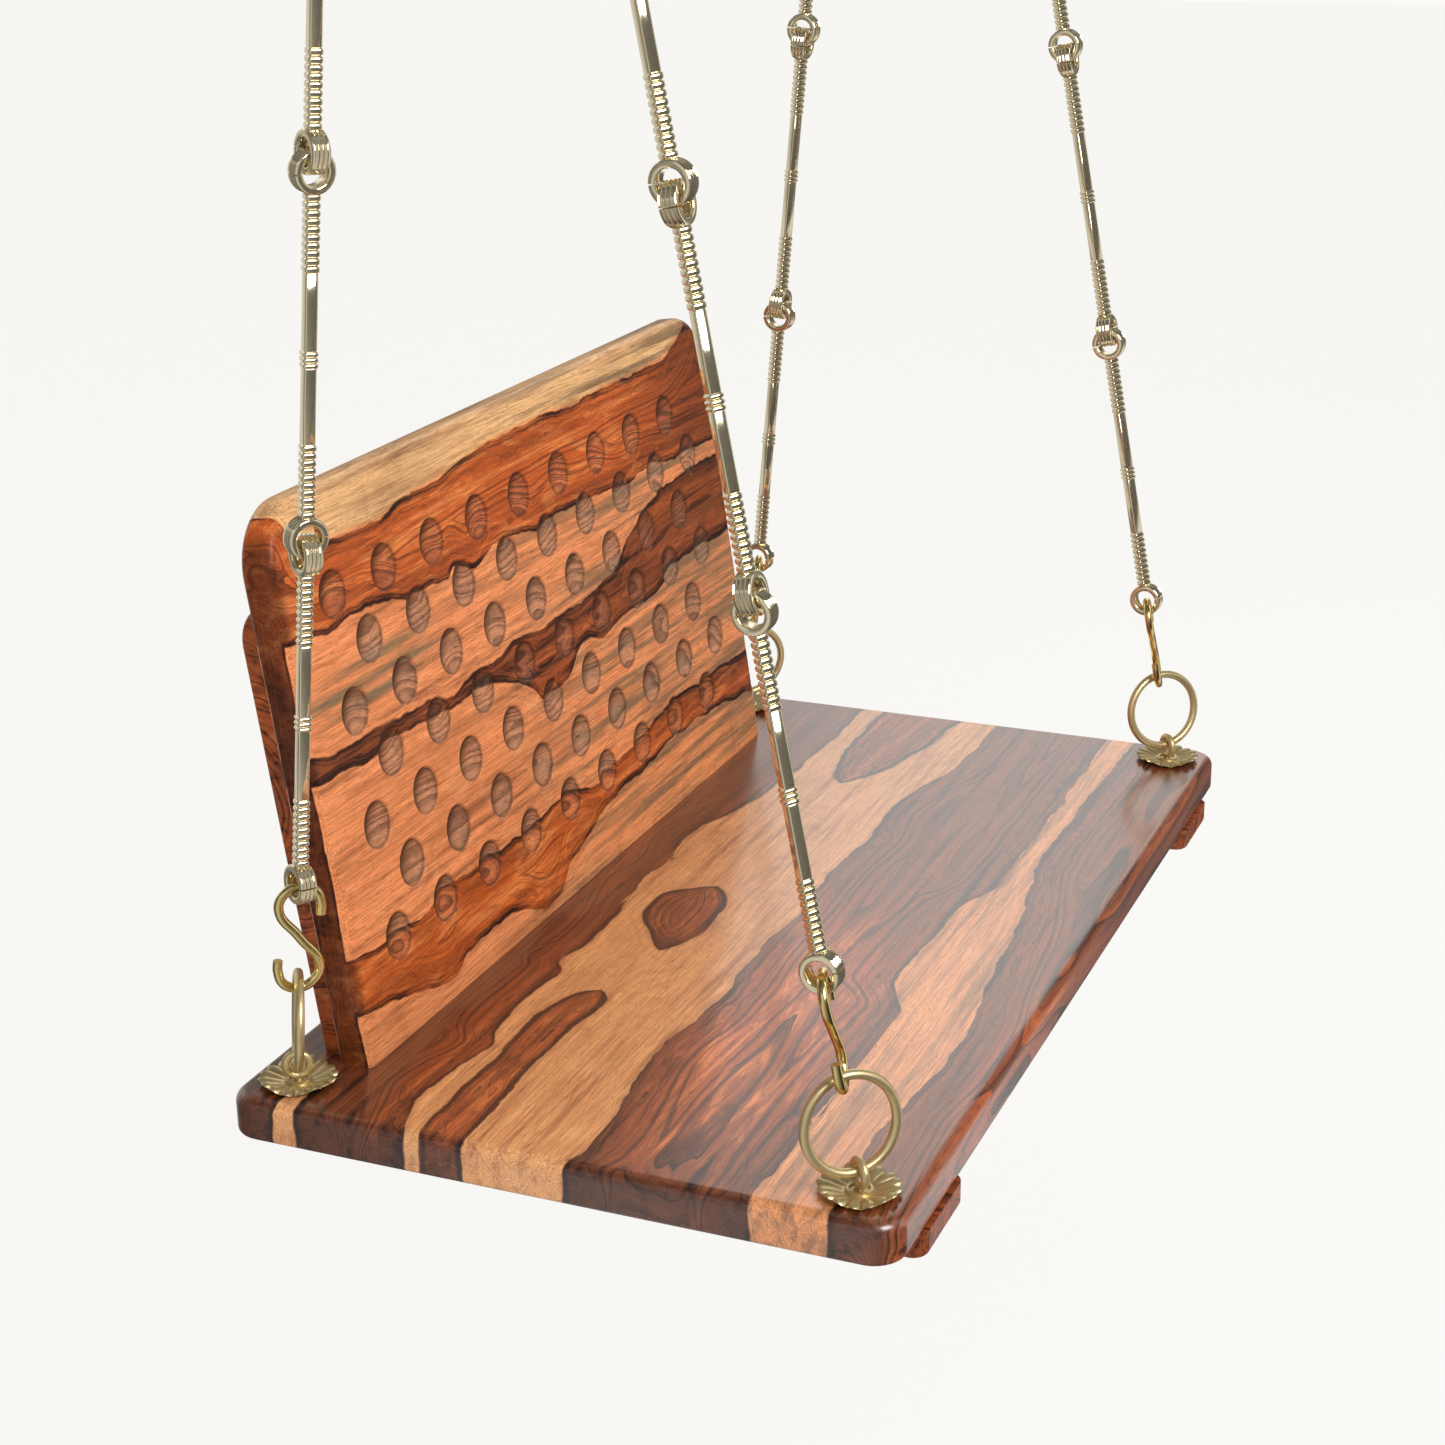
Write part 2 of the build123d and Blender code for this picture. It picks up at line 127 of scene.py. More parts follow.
BACK_LINES = {
    "below": [(-400, -60), (400, -60)],
    "above": [(-400, 480), (400, 480)],
    "foot_band": [
        (-383, 40), (-323, 30), (-286, 22), (-248, 16), (-224, 24), (-175, 26), (-131, 23), (-78, 6), (-58, 11),
        (-40, 26), (-13, 33), (19, 43), (66, 52), (128, 53), (186, 60), (252, 59), (328, 51), (383, 45),
    ],
    "low_band_foot": [
        (-383, 86), (-333, 81), (-286, 77), (-233, 84), (-165, 81), (-99, 77), (-63, 83), (-22, 84), (37, 72),
        (91, 79), (129, 77), (156, 87), (206, 91), (264, 90), (324, 89), (383, 86),
    ],
    "low_band_top": [
        (-383, 216), (-344, 215), (-293, 213), (-245, 214), (-201, 210), (-142, 211), (-95, 205), (-52, 185),
        (-31, 169), (11, 174), (47, 194), (88, 188), (142, 195), (195, 193), (274, 208), (342, 207), (383, 206),
    ],
    "high_band_foot": [
        (-383, 238), (-338, 232), (-287, 231), (-239, 229), (-212, 228), (-175, 219), (-136, 227), (-101, 225),
        (-62, 228), (-10, 227), (45, 227), (104, 232), (135, 236), (156, 253), (182, 262), (220, 276),
        (300, 282), (383, 284),
    ],
    "high_band_top": [
        (-383, 322), (-317, 316), (-286, 319), (-255, 317), (-220, 310), (-199, 309), (-154, 308), (-141, 313),
        (-108, 303), (-82, 309), (-44, 311), (-1, 304), (41, 309), (88, 306), (131, 305), (174, 299), (222, 305),
        (275, 299), (324, 298), (383, 295),
    ],
    "crown_band": [
        (-383, 440), (-366, 416), (-350, 390), (-325, 377), (-285, 377), (-239, 374), (-195, 380), (-138, 383),
        (-77, 389), (-14, 391), (38, 391), (119, 388), (192, 390), (269, 389), (318, 399), (348, 414),
        (383, 445),
    ],
}

# Each plank's own timber: what the columns mean, and a row for each plank.
LOOK = ("seed", "pith_across", "pith_depth", "drift", "spacing", "wander", "redness", "darkness", "sap_shade")
SEAT_LOOKS = {
    "front": (4, -236, 26, 0.03, 7, 16, -0.05, 1.0, 0.8),
    "mid_front": (9, -84, 20, 0.05, 8, 22, 0.0, 1.0, 0.7),
    "mid_back": (14, 40, 70, 0.04, 7, 14, 0.0, 1.0, 0.7),
    "back": (21, 190, 30, 0.03, 7, 16, 0.15, 1.0, 0.7),
}
BACK_LOOKS = (
    (31, 70, 30, 0.05, 6.5, 18, 0.95, 0.7, 0.75),
    (37, 120, 18, 0.04, 7.5, 16, 0.6, 0.9, 0.8),
    (43, 230, 22, -0.04, 7, 16, 0.6, 0.95, 0.8),
    (49, 300, 26, 0.05, 7, 18, 0.7, 0.75, 0.75),
    (55, 370, 20, 0.04, 7, 16, 0.75, 0.75, 0.7),
)
SEAT_GLOSS = 1.0
BACK_GLOSS = 0.08
FIBRE_SHADE = (0.52, 0.42, 0.34, 1)

# Metal finishes: colour, tarnish, roughness, brush marks, relief and metallic share.
METALS = {
    "polished_brass": ("link_brass", 0.12, 0.1, 0.06, 0.03, 1.0),
    "yellow_brass": ("hook_brass", 0.1, 0.16, 0.1, 0.05, 1.0),
    "drawn_brass": ("ring_brass", 0.14, 0.25, 0.14, 0.08, 0.45),
    "pressed_brass": ("rosette_brass", 0.15, 0.22, 0.12, 0.08, 0.28),
    "plated_steel": ("steel", 0.2, 0.3, 0.2, 0.1, 1.0),
}
TARNISH = (0.30, 0.20, 0.08, 1)
SPECKS = (0.2, 0.13, 0.05, 1)
# Painted shade in the grooves, creases and bores of the metal pieces.
GROOVE_SHADE = (0.045, 0.026, 0.008, 1)
RELIEF_DEPTH = 0.0002

# Widths in millimetres of a link's bar, by the share of a rib's or a band's pitch.
BAR_SIDE = 8.5
RIB_SHAPE = ((0.04, 7.5), (0.14, 8.9), (0.3, 9.7), (0.5, 9.9), (0.7, 9.7), (0.86, 8.9), (0.96, 7.5))
BAND_SHAPE = ((0.05, 8.0), (0.2, 9.7), (0.5, 10.4), (0.8, 9.7), (0.95, 8.0))
# Radius and height in millimetres of a rosette, from its hole out to its rim.
ROSETTE_SHAPE = (
    (6.9, 1.3), (7.0, 2.6), (8.2, 3.0), (9.5, 2.6), (9.7, 0.9), (10.6, 1.0), (12, 1.5), (14, 2.2), (16, 2.9),
    (18, 3.5), (20, 4.1), (22, 4.6), (24, 5.0), (26, 5.1), (27.6, 4.8), (28.6, 4.3), (29.0, 3.9),
)

# How bright the studio is that polished faces mirror, by its direction in degrees round the swing.
STUDIO_SIDES = (
    (-180, 0.75), (-150, 0.4), (-125, 0.12), (-101, 0.03), (-80, 0.06), (-60, 1.0), (-45, 0.8), (-23, 0.12),
    (-3, 0.7), (6, 1.3), (19, 1.35), (25, 0.45), (34, 0.3), (44, 0.4), (60, 0.9), (79, 0.75), (95, 0.35),
    (112, 0.14), (130, 0.16), (155, 0.3), (170, 0.8), (180, 0.75),
)
STUDIO_WHITE = (0.956, 0.947, 0.921, 1)
FLOOR_SHADE = (0.86, 0.855, 0.84, 1)
FLOOR_DROP = 0.48
# Each lamp's place from just above the seat's middle and its width, in metres, and its watts.
LAMPS = (
    ("key_lamp", (-1.3, -2.3, 1.7), 1.4, 70),
    ("fill_lamp", (-2.6, 0.9, 1.3), 1.2, 22),
    ("far_lamp", (2.4, -1.0, 1.5), 1.2, 30),
)
# The photograph's camera, fitted on the seat's edges: heading, pitch and roll in degrees, its place from the
# middle of the seat's top in metres, and its focal length by the picture's width, both in pixels.
CAMERA_ANGLES = (22.82, 19.91, -0.78)
CAMERA_SPOT = (-1.860, -0.722, 0.879)
FOCAL_SHARE = 2604 / 1445
SENSOR_WIDTH = 36


def length(name, description, millimetres):
    """Makes a length property from a size in millimetres."""
    return FloatProperty(name=name, description=description, default=millimetres * MM, unit="LENGTH", precision=4)


def colour(name, description, red, green, blue):
    """Makes a colour property from display values from 0 to 255."""
    shade = [((part / 255 + 0.055) / 1.055) ** 2.4 if part > 10 else part / 255 / 12.92 for part in (red, green, blue)]
    return FloatVectorProperty(name=name, description=description, default=(*shade, 1), size=4, subtype="COLOR")


class SwingSizes(bpy.types.PropertyGroup):
    """Sizes of the seat, the backrest and the fittings."""

    seat_length: length("Seat Length", "Seat along the planks", 942)
    seat_depth: length("Seat Depth", "Seat from front to back", 508)
    seat_thickness: length("Seat Thickness", "Thickness of the seat's planks", 32)
    seat_corner: length("Seat Corner", "Radius of the seat's corners seen from above", 24)
    seat_edge: length("Seat Edge", "Rounding of the seat's top edge", 9)
    front_seam: length("Front Seam", "Front edge to the first seam", 100.5)
    middle_seam: length("Middle Seam", "Front edge to the second seam", 233)
    back_seam: length("Back Seam", "Front edge to the third seam", 382)
    seam_groove: length("Seam Groove", "Bevel along the seams of the seat", 0.25)
    low_edge: length("Low Edge", "Rounding of the seat's lower edge and the strips' outer edges", 4)
    back_length: length("Backrest Length", "Backrest along its planks", 765)
    back_height: length("Backrest Height", "Backrest up its slope", 418)
    back_thickness: length("Backrest Thickness", "Thickness of the backrest's planks", 28)
    back_corner: length("Backrest Corner", "Radius of the backrest's upper corners", 50)
    back_edge: length("Backrest Edge", "Rounding of the backrest's edges", 9)
    back_foot: length("Backrest Foot", "Seat's middle to the foot of the backrest", 174)
    back_shift: length("Backrest Shift", "Backrest's middle along the seat", -15.5)
    back_lean: FloatProperty(
        name="Backrest Lean", description="Lean of the backrest", default=math.radians(8.2), subtype="ANGLE"
    )
    scoop_width: length("Scoop Width", "Hollow across its rim", 39)
    scoop_depth: length("Scoop Depth", "Hollow below the planks' face", 6)
    scoop_along: length("Scoop Pitch Along", "Hollow to hollow along a row", 73.4)
    scoop_up: length("Scoop Pitch Up", "Row to row", 43.9)
    scoop_first: length("First Scoop Row", "Foot of the backrest to the lowest row", 76)
    strip_width: length("Strip Width", "Width of cleats and battens", 90)
    strip_thickness: length("Strip Thickness", "Thickness of cleats and battens", 19)
    cleat_centre: length("Cleat Centre", "Seat's middle to a cleat's middle", 377)
    cleat_overhang: length("Cleat Overhang", "How far a cleat passes the seat's edges", 3)
    cleat_corner: length("Cleat Corner", "Radius of a cleat's corners", 12)
    batten_centre: length("Batten Centre", "Backrest's middle to a batten's middle", 324)
    batten_height: length("Batten Height", "Batten up the backrest's slope", 340)
    batten_corner: length("Batten Corner", "Radius of a batten's upper corners", 22)
    screw_head: length("Screw Head", "Screw head across", 9)
    screw_shift: length("Screw Shift", "Screws to each side of a strip's middle", 25)
    eye_inset: length("Eye Inset", "Seat's edges to an eye bolt", 39.5)
    loop_width: length("Loop Width", "Eye bolt's loop across the middle of its wire", 17.4)
    loop_wire: length("Loop Wire", "Thickness of an eye bolt's wire", 5.8)
    loop_rise: length("Loop Rise", "Seat's top to the middle of an eye bolt's loop", 13.5)
    washer_radius: length("Washer Radius", "Outer radius of a washer", 8.5)
    washer_thickness: length("Washer Thickness", "Thickness of a washer", 1.6)
    nut_radius: length("Nut Radius", "Middle of a nut to its corners", 5.77)
    nut_height: length("Nut Height", "Height of a nut", 5)
    ring_width: length("Ring Width", "Ring across the middle of its wire", 68)
    wire: length("Wire", "Thickness of the rings' and hooks' wire", 7)
    hook_loop: length("Hook Loop", "S hook's loop across the middle of its wire", 31)
    hook_height: length("Hook Height", "Lower S hook between the middles of its wire", 80)
    link_centres: length("Link Centres", "Link from eye to eye", 241.9)
    link_bar: length("Link Bar", "Side of a link's square bar", 8.5)
    link_eye: length("Link Eye", "Link's eye across", 29)
    link_bore: length("Link Bore", "Hole in a link's eye", 18)
    link_eye_width: length("Link Eye Width", "Link's eye along its hole", 13)
    play: length("Play", "Free gap between pieces that hang in each other", 0.55)
    chain_gap: length("Chain Gap", "Swing's line to the head of a chain, from front to back", 5.7)
    plate_width: length("Plate Width", "Ceiling plate along the seat", 64)
    plate_length: length("Plate Length", "Ceiling plate from front to back", 110)
    plate_thickness: length("Plate Thickness", "Thickness of a ceiling plate", 5)
    plate_bore: length("Plate Bore", "Screw hole in a ceiling plate", 8.5)
    plate_screw: length("Plate Screw", "Ceiling plate's middle to its screw holes", 40)
    staple_wire: length("Staple Wire", "Thickness of the ceiling staple's bar", 10)
    staple_reach: length("Staple Reach", "Ceiling staple's middle to its legs", 22)
    staple_bend: length("Staple Bend", "Radius of the ceiling staple's bends", 14)
    ribs: IntProperty(name="Ribs", description="Ribs at each end of a link's bar", default=10, min=1)
    petals: IntProperty(name="Petals", description="Petals of a rosette", default=16, min=3)


class SwingColours(bpy.types.PropertyGroup):
    """Colours of the wood and the brass."""

    heart_dark: colour("Dark Heartwood", "Darkest lines of the heartwood", 46, 20, 10)
    heart_brown: colour("Brown Heartwood", "Body of the brown heartwood", 138, 74, 40)
    heart_red: colour("Red Heartwood", "Body of the red heartwood", 206, 98, 40)
    heart_orange: colour("Orange Streaks", "Bright streaks in the heartwood", 236, 138, 72)
    sap_tan: colour("Tan Sapwood", "Body of the tan sapwood", 230, 174, 114)
    sap_salmon: colour("Salmon Sapwood", "Body of the reddish sapwood", 248, 156, 100)
    sap_light: colour("Light Sapwood", "Bright curl in the sapwood", 252, 206, 150)
    sap_brown: colour("Brown Sapwood Lines", "Shaded lines in the sapwood", 142, 80, 46)
    # Used for real grey stain and for painted shade towards the backrest's far end.
    sap_stain_and_shade: colour("Sapwood Stain", "Grey stain in the sapwood", 128, 108, 80)
    # The scoops' duller tone: partly end grain, partly painted sheen and shade.
    scoop_grain_and_sheen: colour("Scoop Shade", "Duller end grain in the scoops", 158, 126, 104)
    link_brass: colour("Link Brass", "Polished brass of the links", 248, 236, 206)
    hook_brass: colour("Hook Brass", "Yellow brass of the hooks", 244, 220, 150)
    ring_brass: colour("Ring Brass", "Drawn brass of the rings and eyes", 216, 222, 118)
    rosette_brass: colour("Rosette Brass", "Pressed brass of the rosettes", 232, 230, 104)
    steel: colour("Plated Steel", "Washers, nuts and screws", 196, 190, 178)


def sizes():
    """Gives the swing's sizes."""
    return bpy.context.scene.swing_sizes


def colours():
    """Gives the swing's colours."""
    return bpy.context.scene.swing_colours


def clear_selection():
    """Leaves edit mode and deselects everything."""
    if bpy.context.object and bpy.context.object.mode != "OBJECT":
        bpy.ops.object.mode_set(mode="OBJECT")
    bpy.ops.object.select_all(action="DESELECT")


def take(piece):
    """Makes one piece the only selected and active one."""
    clear_selection()
    piece.select_set(True)
    bpy.context.view_layer.objects.active = piece


@contextmanager
def editing(piece):
    """Opens a piece in edit mode for a while."""
    take(piece)
    bpy.ops.object.mode_set(mode="EDIT")
    yield
    bpy.ops.object.mode_set(mode="OBJECT")


def pick_all():
    """In edit mode, selects everything."""
    bpy.ops.mesh.select_all(action="SELECT")


def pick(piece, kind, test):
    """In edit mode, selects the vertices, edges or faces of a piece that pass a test."""
    bpy.ops.mesh.select_mode(type=kind)
    bpy.ops.mesh.select_all(action="DESELECT")
    shape = bmesh.from_edit_mesh(piece.data)
    parts = {"VERT": shape.verts, "EDGE": shape.edges, "FACE": shape.faces}[kind]
    for part in parts:
        part.select_set(bool(test(part)))
    shape.select_flush_mode()
    bmesh.update_edit_mesh(piece.data)


def span(edge, axis):
    """Gives how far an edge runs along an axis."""
    return abs(edge.verts[0].co[axis] - edge.verts[1].co[axis])


def lowest(edge, axis):
    """Gives the lesser place of an edge's ends on an axis."""
    return min(vert.co[axis] for vert in edge.verts)


def highest(edge, axis):
    """Gives the greater place of an edge's ends on an axis."""
    return max(vert.co[axis] for vert in edge.verts)


def round_edges(piece, test, radius, segments):
    """In edit mode, rounds the edges that pass a test."""
    pick(piece, "EDGE", test)
    bpy.ops.mesh.bevel(offset=radius, offset_type="OFFSET", segments=segments, affect="EDGES")


def sweep(stations, level, width):
    """In edit mode, draws the selected outline from a level and a width through stations of height and width."""
    for height, wide in stations:
        share = wide / width
        bpy.ops.mesh.extrude_region_move(TRANSFORM_OT_translate={"value": (0, 0, height - level)})
        bpy.ops.transform.resize(value=(share, share, 1), center_override=(0, 0, height))
        level, width = height, wide


def added(name):
    """Names the shape just added, and applies its place and size to its mesh."""
    bpy.ops.object.transform_apply(location=True, rotation=True, scale=True)
    piece = bpy.context.object
    piece.name = name
    return piece


def block(name, size, centre):
    """Adds a block of a size about a centre."""
    clear_selection()
    bpy.ops.mesh.primitive_cube_add(size=1, location=centre)
    bpy.context.object.scale = size
    return added(name)


def cone(name, x, y, low, high, wide, narrow):
    """Adds an upright cone between two heights, with its wide end below."""
    clear_selection()
    bpy.ops.mesh.primitive_cone_add(
        vertices=32, radius1=wide, radius2=narrow, depth=high - low, location=(x, y, (low + high) / 2)
    )
    return added(name)


def cylinder(name, radius, low, high, sides, y=0.0):
    """Adds an upright cylinder or prism between two heights."""
    clear_selection()
    bpy.ops.mesh.primitive_cylinder_add(
        vertices=sides, radius=radius, depth=high - low, location=(0, y, (low + high) / 2)
    )
    return added(name)


def copy_of(master, name, place=None):
    """Copies a piece with its own mesh, and moves the mesh to a place."""
    piece = master.copy()
    piece.data = master.data.copy()
    piece.name = name
    bpy.context.collection.objects.link(piece)
    if place is not None:
        piece.data.transform(place)
    return piece


def join(pieces, name):
    """Joins pieces into one."""
    clear_selection()
    for piece in pieces:
        piece.select_set(True)
    bpy.context.view_layer.objects.active = pieces[0]
    bpy.ops.object.join()
    pieces[0].name = name
    return pieces[0]


def drop(piece):
    """Deletes a piece that was only a start for others."""
    bpy.data.objects.remove(piece, do_unlink=True)


def carve(piece, tool):
    """Cuts a tool's shape out of a piece and deletes the tool."""
    take(piece)
    hollow = piece.modifiers.new("carve", "BOOLEAN")
    hollow.operation = "DIFFERENCE"
    hollow.solver = "EXACT"
    hollow.object = tool
    bpy.ops.object.modifier_apply(modifier=hollow.name)
    drop(tool)


def cut(piece, point, normal):
    """Cuts away what lies on a normal's side of a point, and closes the cut."""
    with editing(piece):
        pick_all()
        bpy.ops.mesh.bisect(plane_co=point, plane_no=normal, use_fill=True, clear_outer=True)


def outward(piece):
    """Merges doubles and turns the faces outwards."""
    with editing(piece):
        pick_all()
        bpy.ops.mesh.remove_doubles(threshold=TOUCH)
        bpy.ops.mesh.normals_make_consistent(inside=False)


def keep_painted_shade(piece, depth):
    """Keeps a share of painted shade for each point of a piece, such as how deep in a groove it lies."""
    layer = piece.data.attributes.new("groove", "FLOAT", "POINT")
    layer.data.foreach_set("value", [depth(vert.co) for vert in piece.data.vertices])


def limited(value):
    """Keeps a number between 0 and 1."""
    return max(0.0, min(1.0, value))


def settle(piece, node, body, finish, angle=35):
    """Shades a finished piece, gives it its finish and ties it to the node and body that it stands for."""
    take(piece)
    bpy.ops.object.shade_smooth_by_angle(angle=math.radians(angle))
    for modifier in list(piece.modifiers):
        bpy.ops.object.modifier_apply(modifier=modifier.name)
    piece.data.materials.clear()
    piece.data.materials.append(finish)
    if node:
        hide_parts(*([node] if isinstance(node, str) else node))
    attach(piece, body)
    return piece


def even_shading(piece):
    """Weights a piece's normals by its large faces, so that flats stay flat beside small roundings."""
    take(piece)
    bpy.ops.object.shade_smooth_by_angle(angle=math.radians(50))
    weighting = piece.modifiers.new("flats", "WEIGHTED_NORMAL")
    weighting.keep_sharp = True
    weighting.weight = 80
    bpy.ops.object.modifier_apply(modifier=weighting.name)


def axes(origin, x_axis, z_axis):
    """Gives the place of a frame from its origin, its z axis and the way its x axis leans."""
    z = Vector(z_axis).normalized()
    x = Vector(x_axis)
    x = (x - z * x.dot(z)).normalized()
    y = z.cross(x)
    return Matrix.Translation(Vector(origin)) @ Matrix((x, y, z)).transposed().to_4x4()


def seat_place():
    """Place of the seat's frame, at the middle of its top."""
    return Matrix.Translation((0, SEAT_Y, SEAT_TOP))


def back_place():
    """Place of the backrest's frame: x along the seat, y up the slope and z out of its front."""
    s = sizes()
    origin = (s.back_shift, SEAT_Y + s.back_foot, SEAT_TOP)
    return axes(origin, (1, 0, 0), (0, -math.cos(s.back_lean), math.sin(s.back_lean)))


def wire_piece(name, points, thickness):
    """Bends a round wire smoothly through points and makes it a mesh with softened ends."""
    line = bpy.data.curves.new(name, "CURVE")
    line.dimensions = "3D"
    line.resolution_u = 8
    line.bevel_depth = thickness / 2
    line.bevel_resolution = 5
    line.use_fill_caps = True
    spline = line.splines.new("BEZIER")
    spline.bezier_points.add(len(points) - 1)
    for knot, point in zip(spline.bezier_points, points):
        knot.co = point
        knot.handle_left_type = "AUTO"
        knot.handle_right_type = "AUTO"
    piece = bpy.data.objects.new(name, line)
    bpy.context.collection.objects.link(piece)
    take(piece)
    bpy.ops.object.convert(target="MESH")
    piece = bpy.context.object
    outward(piece)
    with editing(piece):
        ends = lambda edge: any(len(face.verts) > 8 for face in edge.link_faces)
        round_edges(piece, ends, thickness * 0.09, 2)
    return piece


class Value:
    """A node's output, with arithmetic that adds math nodes to its tree."""

    def __init__(self, tree, socket):
        self.tree = tree
        self.socket = socket

    def __add__(self, other):
        return self.tree.math("ADD", self, other)

    def __sub__(self, other):
        return self.tree.math("SUBTRACT", self, other)

    def __mul__(self, other):
        return self.tree.math("MULTIPLY", self, other)

    def __truediv__(self, other):
        return self.tree.math("DIVIDE", self, other)

    def __pow__(self, other):
        return self.tree.math("POWER", self, other)

    def __abs__(self):
        return self.tree.math("ABSOLUTE", self)


class Tree:
    """Builds nodes into a tree, one call for each node."""

    def __init__(self, tree):
        self.tree = tree

    def put(self, socket, value):
        """Links a value to a socket, or sets the socket to a constant."""
        if isinstance(value, Value):
            self.tree.links.new(value.socket, socket)
        else:
            socket.default_value = value

    def node(self, kind, inputs=None, **settings):
        """Adds a node, sets it up, and links or sets its inputs."""
        made = self.tree.nodes.new(kind)
        for key, value in settings.items():
            setattr(made, key, value)
        for key, value in (inputs or {}).items():
            self.put(made.inputs[key], value)
        return made

    def value(self, kind, inputs=None, output=0, **settings):
        """Adds a node and gives one of its outputs."""
        return Value(self, self.node(kind, inputs, **settings).outputs[output])

    def math(self, operation, first, second=0.0, clamp=False):
        """Adds a math node with one or two values."""
        return self.value("ShaderNodeMath", {0: first, 1: second}, operation=operation, use_clamp=clamp)

    def most(self, first, *others):
        """Adds the greatest of some values."""
        for other in others:
            first = self.math("MAXIMUM", first, other)
        return first

    def least(self, first, second):
        """Adds the lesser of two values."""
        return self.math("MINIMUM", first, second)

    def ramp(self, value, low, high, start=0.0, end=1.0):
        """Adds a smooth step from start to end as a value goes from low to high."""
        inputs = {"Value": value, "From Min": low, "From Max": high, "To Min": start, "To Max": end}
        return self.value("ShaderNodeMapRange", inputs, interpolation_type="SMOOTHSTEP")

    def mix(self, share, first, second, blend="MIX"):
        """Adds a mix of two colours."""
        return self.value("ShaderNodeMix", {0: share, 6: first, 7: second}, 2, data_type="RGBA", blend_type=blend)

    def layered(self, tone, *layers):
        """Lays shares of colours over a tone, one after the other."""
        for share, shade in layers:
            tone = self.mix(share, tone, shade)
        return tone

    def split(self, vector):
        """Gives a vector's three parts."""
        return [Value(self, part) for part in self.node("ShaderNodeSeparateXYZ", {0: vector}).outputs]

    def noise(self, vector, lengths, seed=0.0, detail=2.0, rough=0.5, distortion=0.0):
        """Adds noise with features of these lengths along a vector's axes."""
        steps = tuple(1 / length for length in lengths)
        scaled = self.value("ShaderNodeVectorMath", {0: vector, 1: steps}, operation="MULTIPLY")
        shift = self.value("ShaderNodeCombineXYZ", {"X": seed, "Y": seed, "Z": seed})
        moved = self.value("ShaderNodeVectorMath", {0: scaled, 1: shift}, operation="ADD")
        inputs = {"Vector": moved, "Scale": 1.0, "Detail": detail, "Roughness": rough, "Distortion": distortion}
        return self.value("ShaderNodeTexNoise", inputs)

    def curve(self, value, points, clamped=False):
        """Adds a curve drawn through points between 0 and 1, and gives its height at a value."""
        drawn = self.node("ShaderNodeFloatCurve", {"Value": value})
        line = drawn.mapping.curves[0]
        line.points[0].location = points[0]
        line.points[1].location = points[-1]
        for point in points[1:-1]:
            line.points.new(*point)
        if clamped:
            for point in line.points:
                point.handle_type = "AUTO_CLAMPED"
            drawn.mapping.extend = "HORIZONTAL"
        drawn.mapping.update()
        return Value(self, drawn.outputs[0])

    def give(self, **values):
        """Makes a group's outputs from named values, and gives the group."""
        for label in values:
            kind = "NodeSocketColor" if label == "Color" else "NodeSocketFloat"
            self.tree.interface.new_socket(label, in_out="OUTPUT", socket_type=kind)
        self.node("NodeGroupOutput", values)
        return self.tree


def new_group(name, inputs):
    """Starts a group with inputs of these defaults, None for a vector, and gives its tree and its inputs."""
    group = bpy.data.node_groups.new(name, "ShaderNodeTree")
    for label, default in inputs.items():
        kind = "Vector" if default is None else "Color" if isinstance(default, tuple) else "Float"
        socket = group.interface.new_socket(label, in_out="INPUT", socket_type="NodeSocket" + kind)
        if default is not None:
            socket.default_value = default
    tree = Tree(group)
    start = tree.node("NodeGroupInput").outputs
    return tree, {label: Value(tree, start[label]) for label in inputs}


def border(tree, along, points):
    """Gives how far across the grain a drawn line lies at a place along it, all in millimetres."""
    spots = [(x / 1000 + 0.5, y / 1000 + 0.5) for x, y in points]
    return tree.curve(along * 0.001 + 0.5, spots, clamped=True) * 1000 - 500


def figure_group(name):
    """Starts the group of a glued board's figure, and gives makers of the distance inside lines and of soft patches."""
    tree, given = new_group(name, {"Grain": None, "Redness": 0.5})
    along, across, out = tree.split(given["Grain"])

    def within(low, high):
        return tree.least(across - border(tree, along, low), border(tree, along, high) - across)

    def patch(centre, height, half_along, half_across):
        far = ((along - centre) / half_along) ** 2.0 + ((across - height) / half_across) ** 2.0
        return tree.ramp(far, 0.25, 1.6, 1.0, 0.0)

    return tree, given["Redness"], (along, across, out), within, patch


def seat_figure_group():
    """Sapwood, dark streak, knot and far flame of the seat, over all four planks."""
    if "seat_figure" in bpy.data.node_groups:
        return bpy.data.node_groups["seat_figure"]
    tree, redness, (along, across, out), within, patch = figure_group("seat_figure")
    middle, front, corner, streak, flame, knot = (
        within(SEAT_LINES[name + "_front"], SEAT_LINES[name + "_back"])
        for name in ("middle_tan", "front_tan", "corner_tan", "streak", "flame", "knot")
    )
    marks = tree.most(streak, flame, knot)
    sapwood = tree.least(tree.most(middle, front, corner), marks * -1.0)
    # The near part of the heartwood and the seat's front edge are redder, its far part browner.
    near = patch(-250, -80, 200, 58)
    edge = tree.ramp(across + out * 1.6, -234, -262)
    red = redness + tree.ramp(marks, -2, 5, 0.0, 0.4) + near * 0.55 - tree.ramp(along, -60, 180, 0.0, 0.15)
    glow = tree.most(near, tree.ramp(marks, 0, 6, 0.0, 0.5), tree.ramp(knot, 3, 11, 0.0, 0.8))
    # Darker end grain, back plank, left tip of the knot and rings round the knot.
    knot_rings = tree.ramp(tree.math("FRACT", knot * 0.15), 0.5, 0.95) * tree.ramp(knot, 2, 5, 0.0, 0.8)
    ends = tree.ramp(abs(along), 460, 470, 0.0, 0.8)
    shade = tree.most(ends, tree.ramp(across, 118, 140, 0.0, 0.4), patch(-128, 62, 22, 17) * 0.95, knot_rings)
    return tree.give(
        Sapwood=sapwood,
        Redness=red + edge * 0.5,
        Flame=glow,
        Pale=tree.ramp(across, -60, -150, 0.75, 0.35),
        Stain=tree.ramp(across, -120, -150, 0.0, 0.4),
        Mark=tree.ramp(marks, -1, 3),
        Shade=shade,
    )


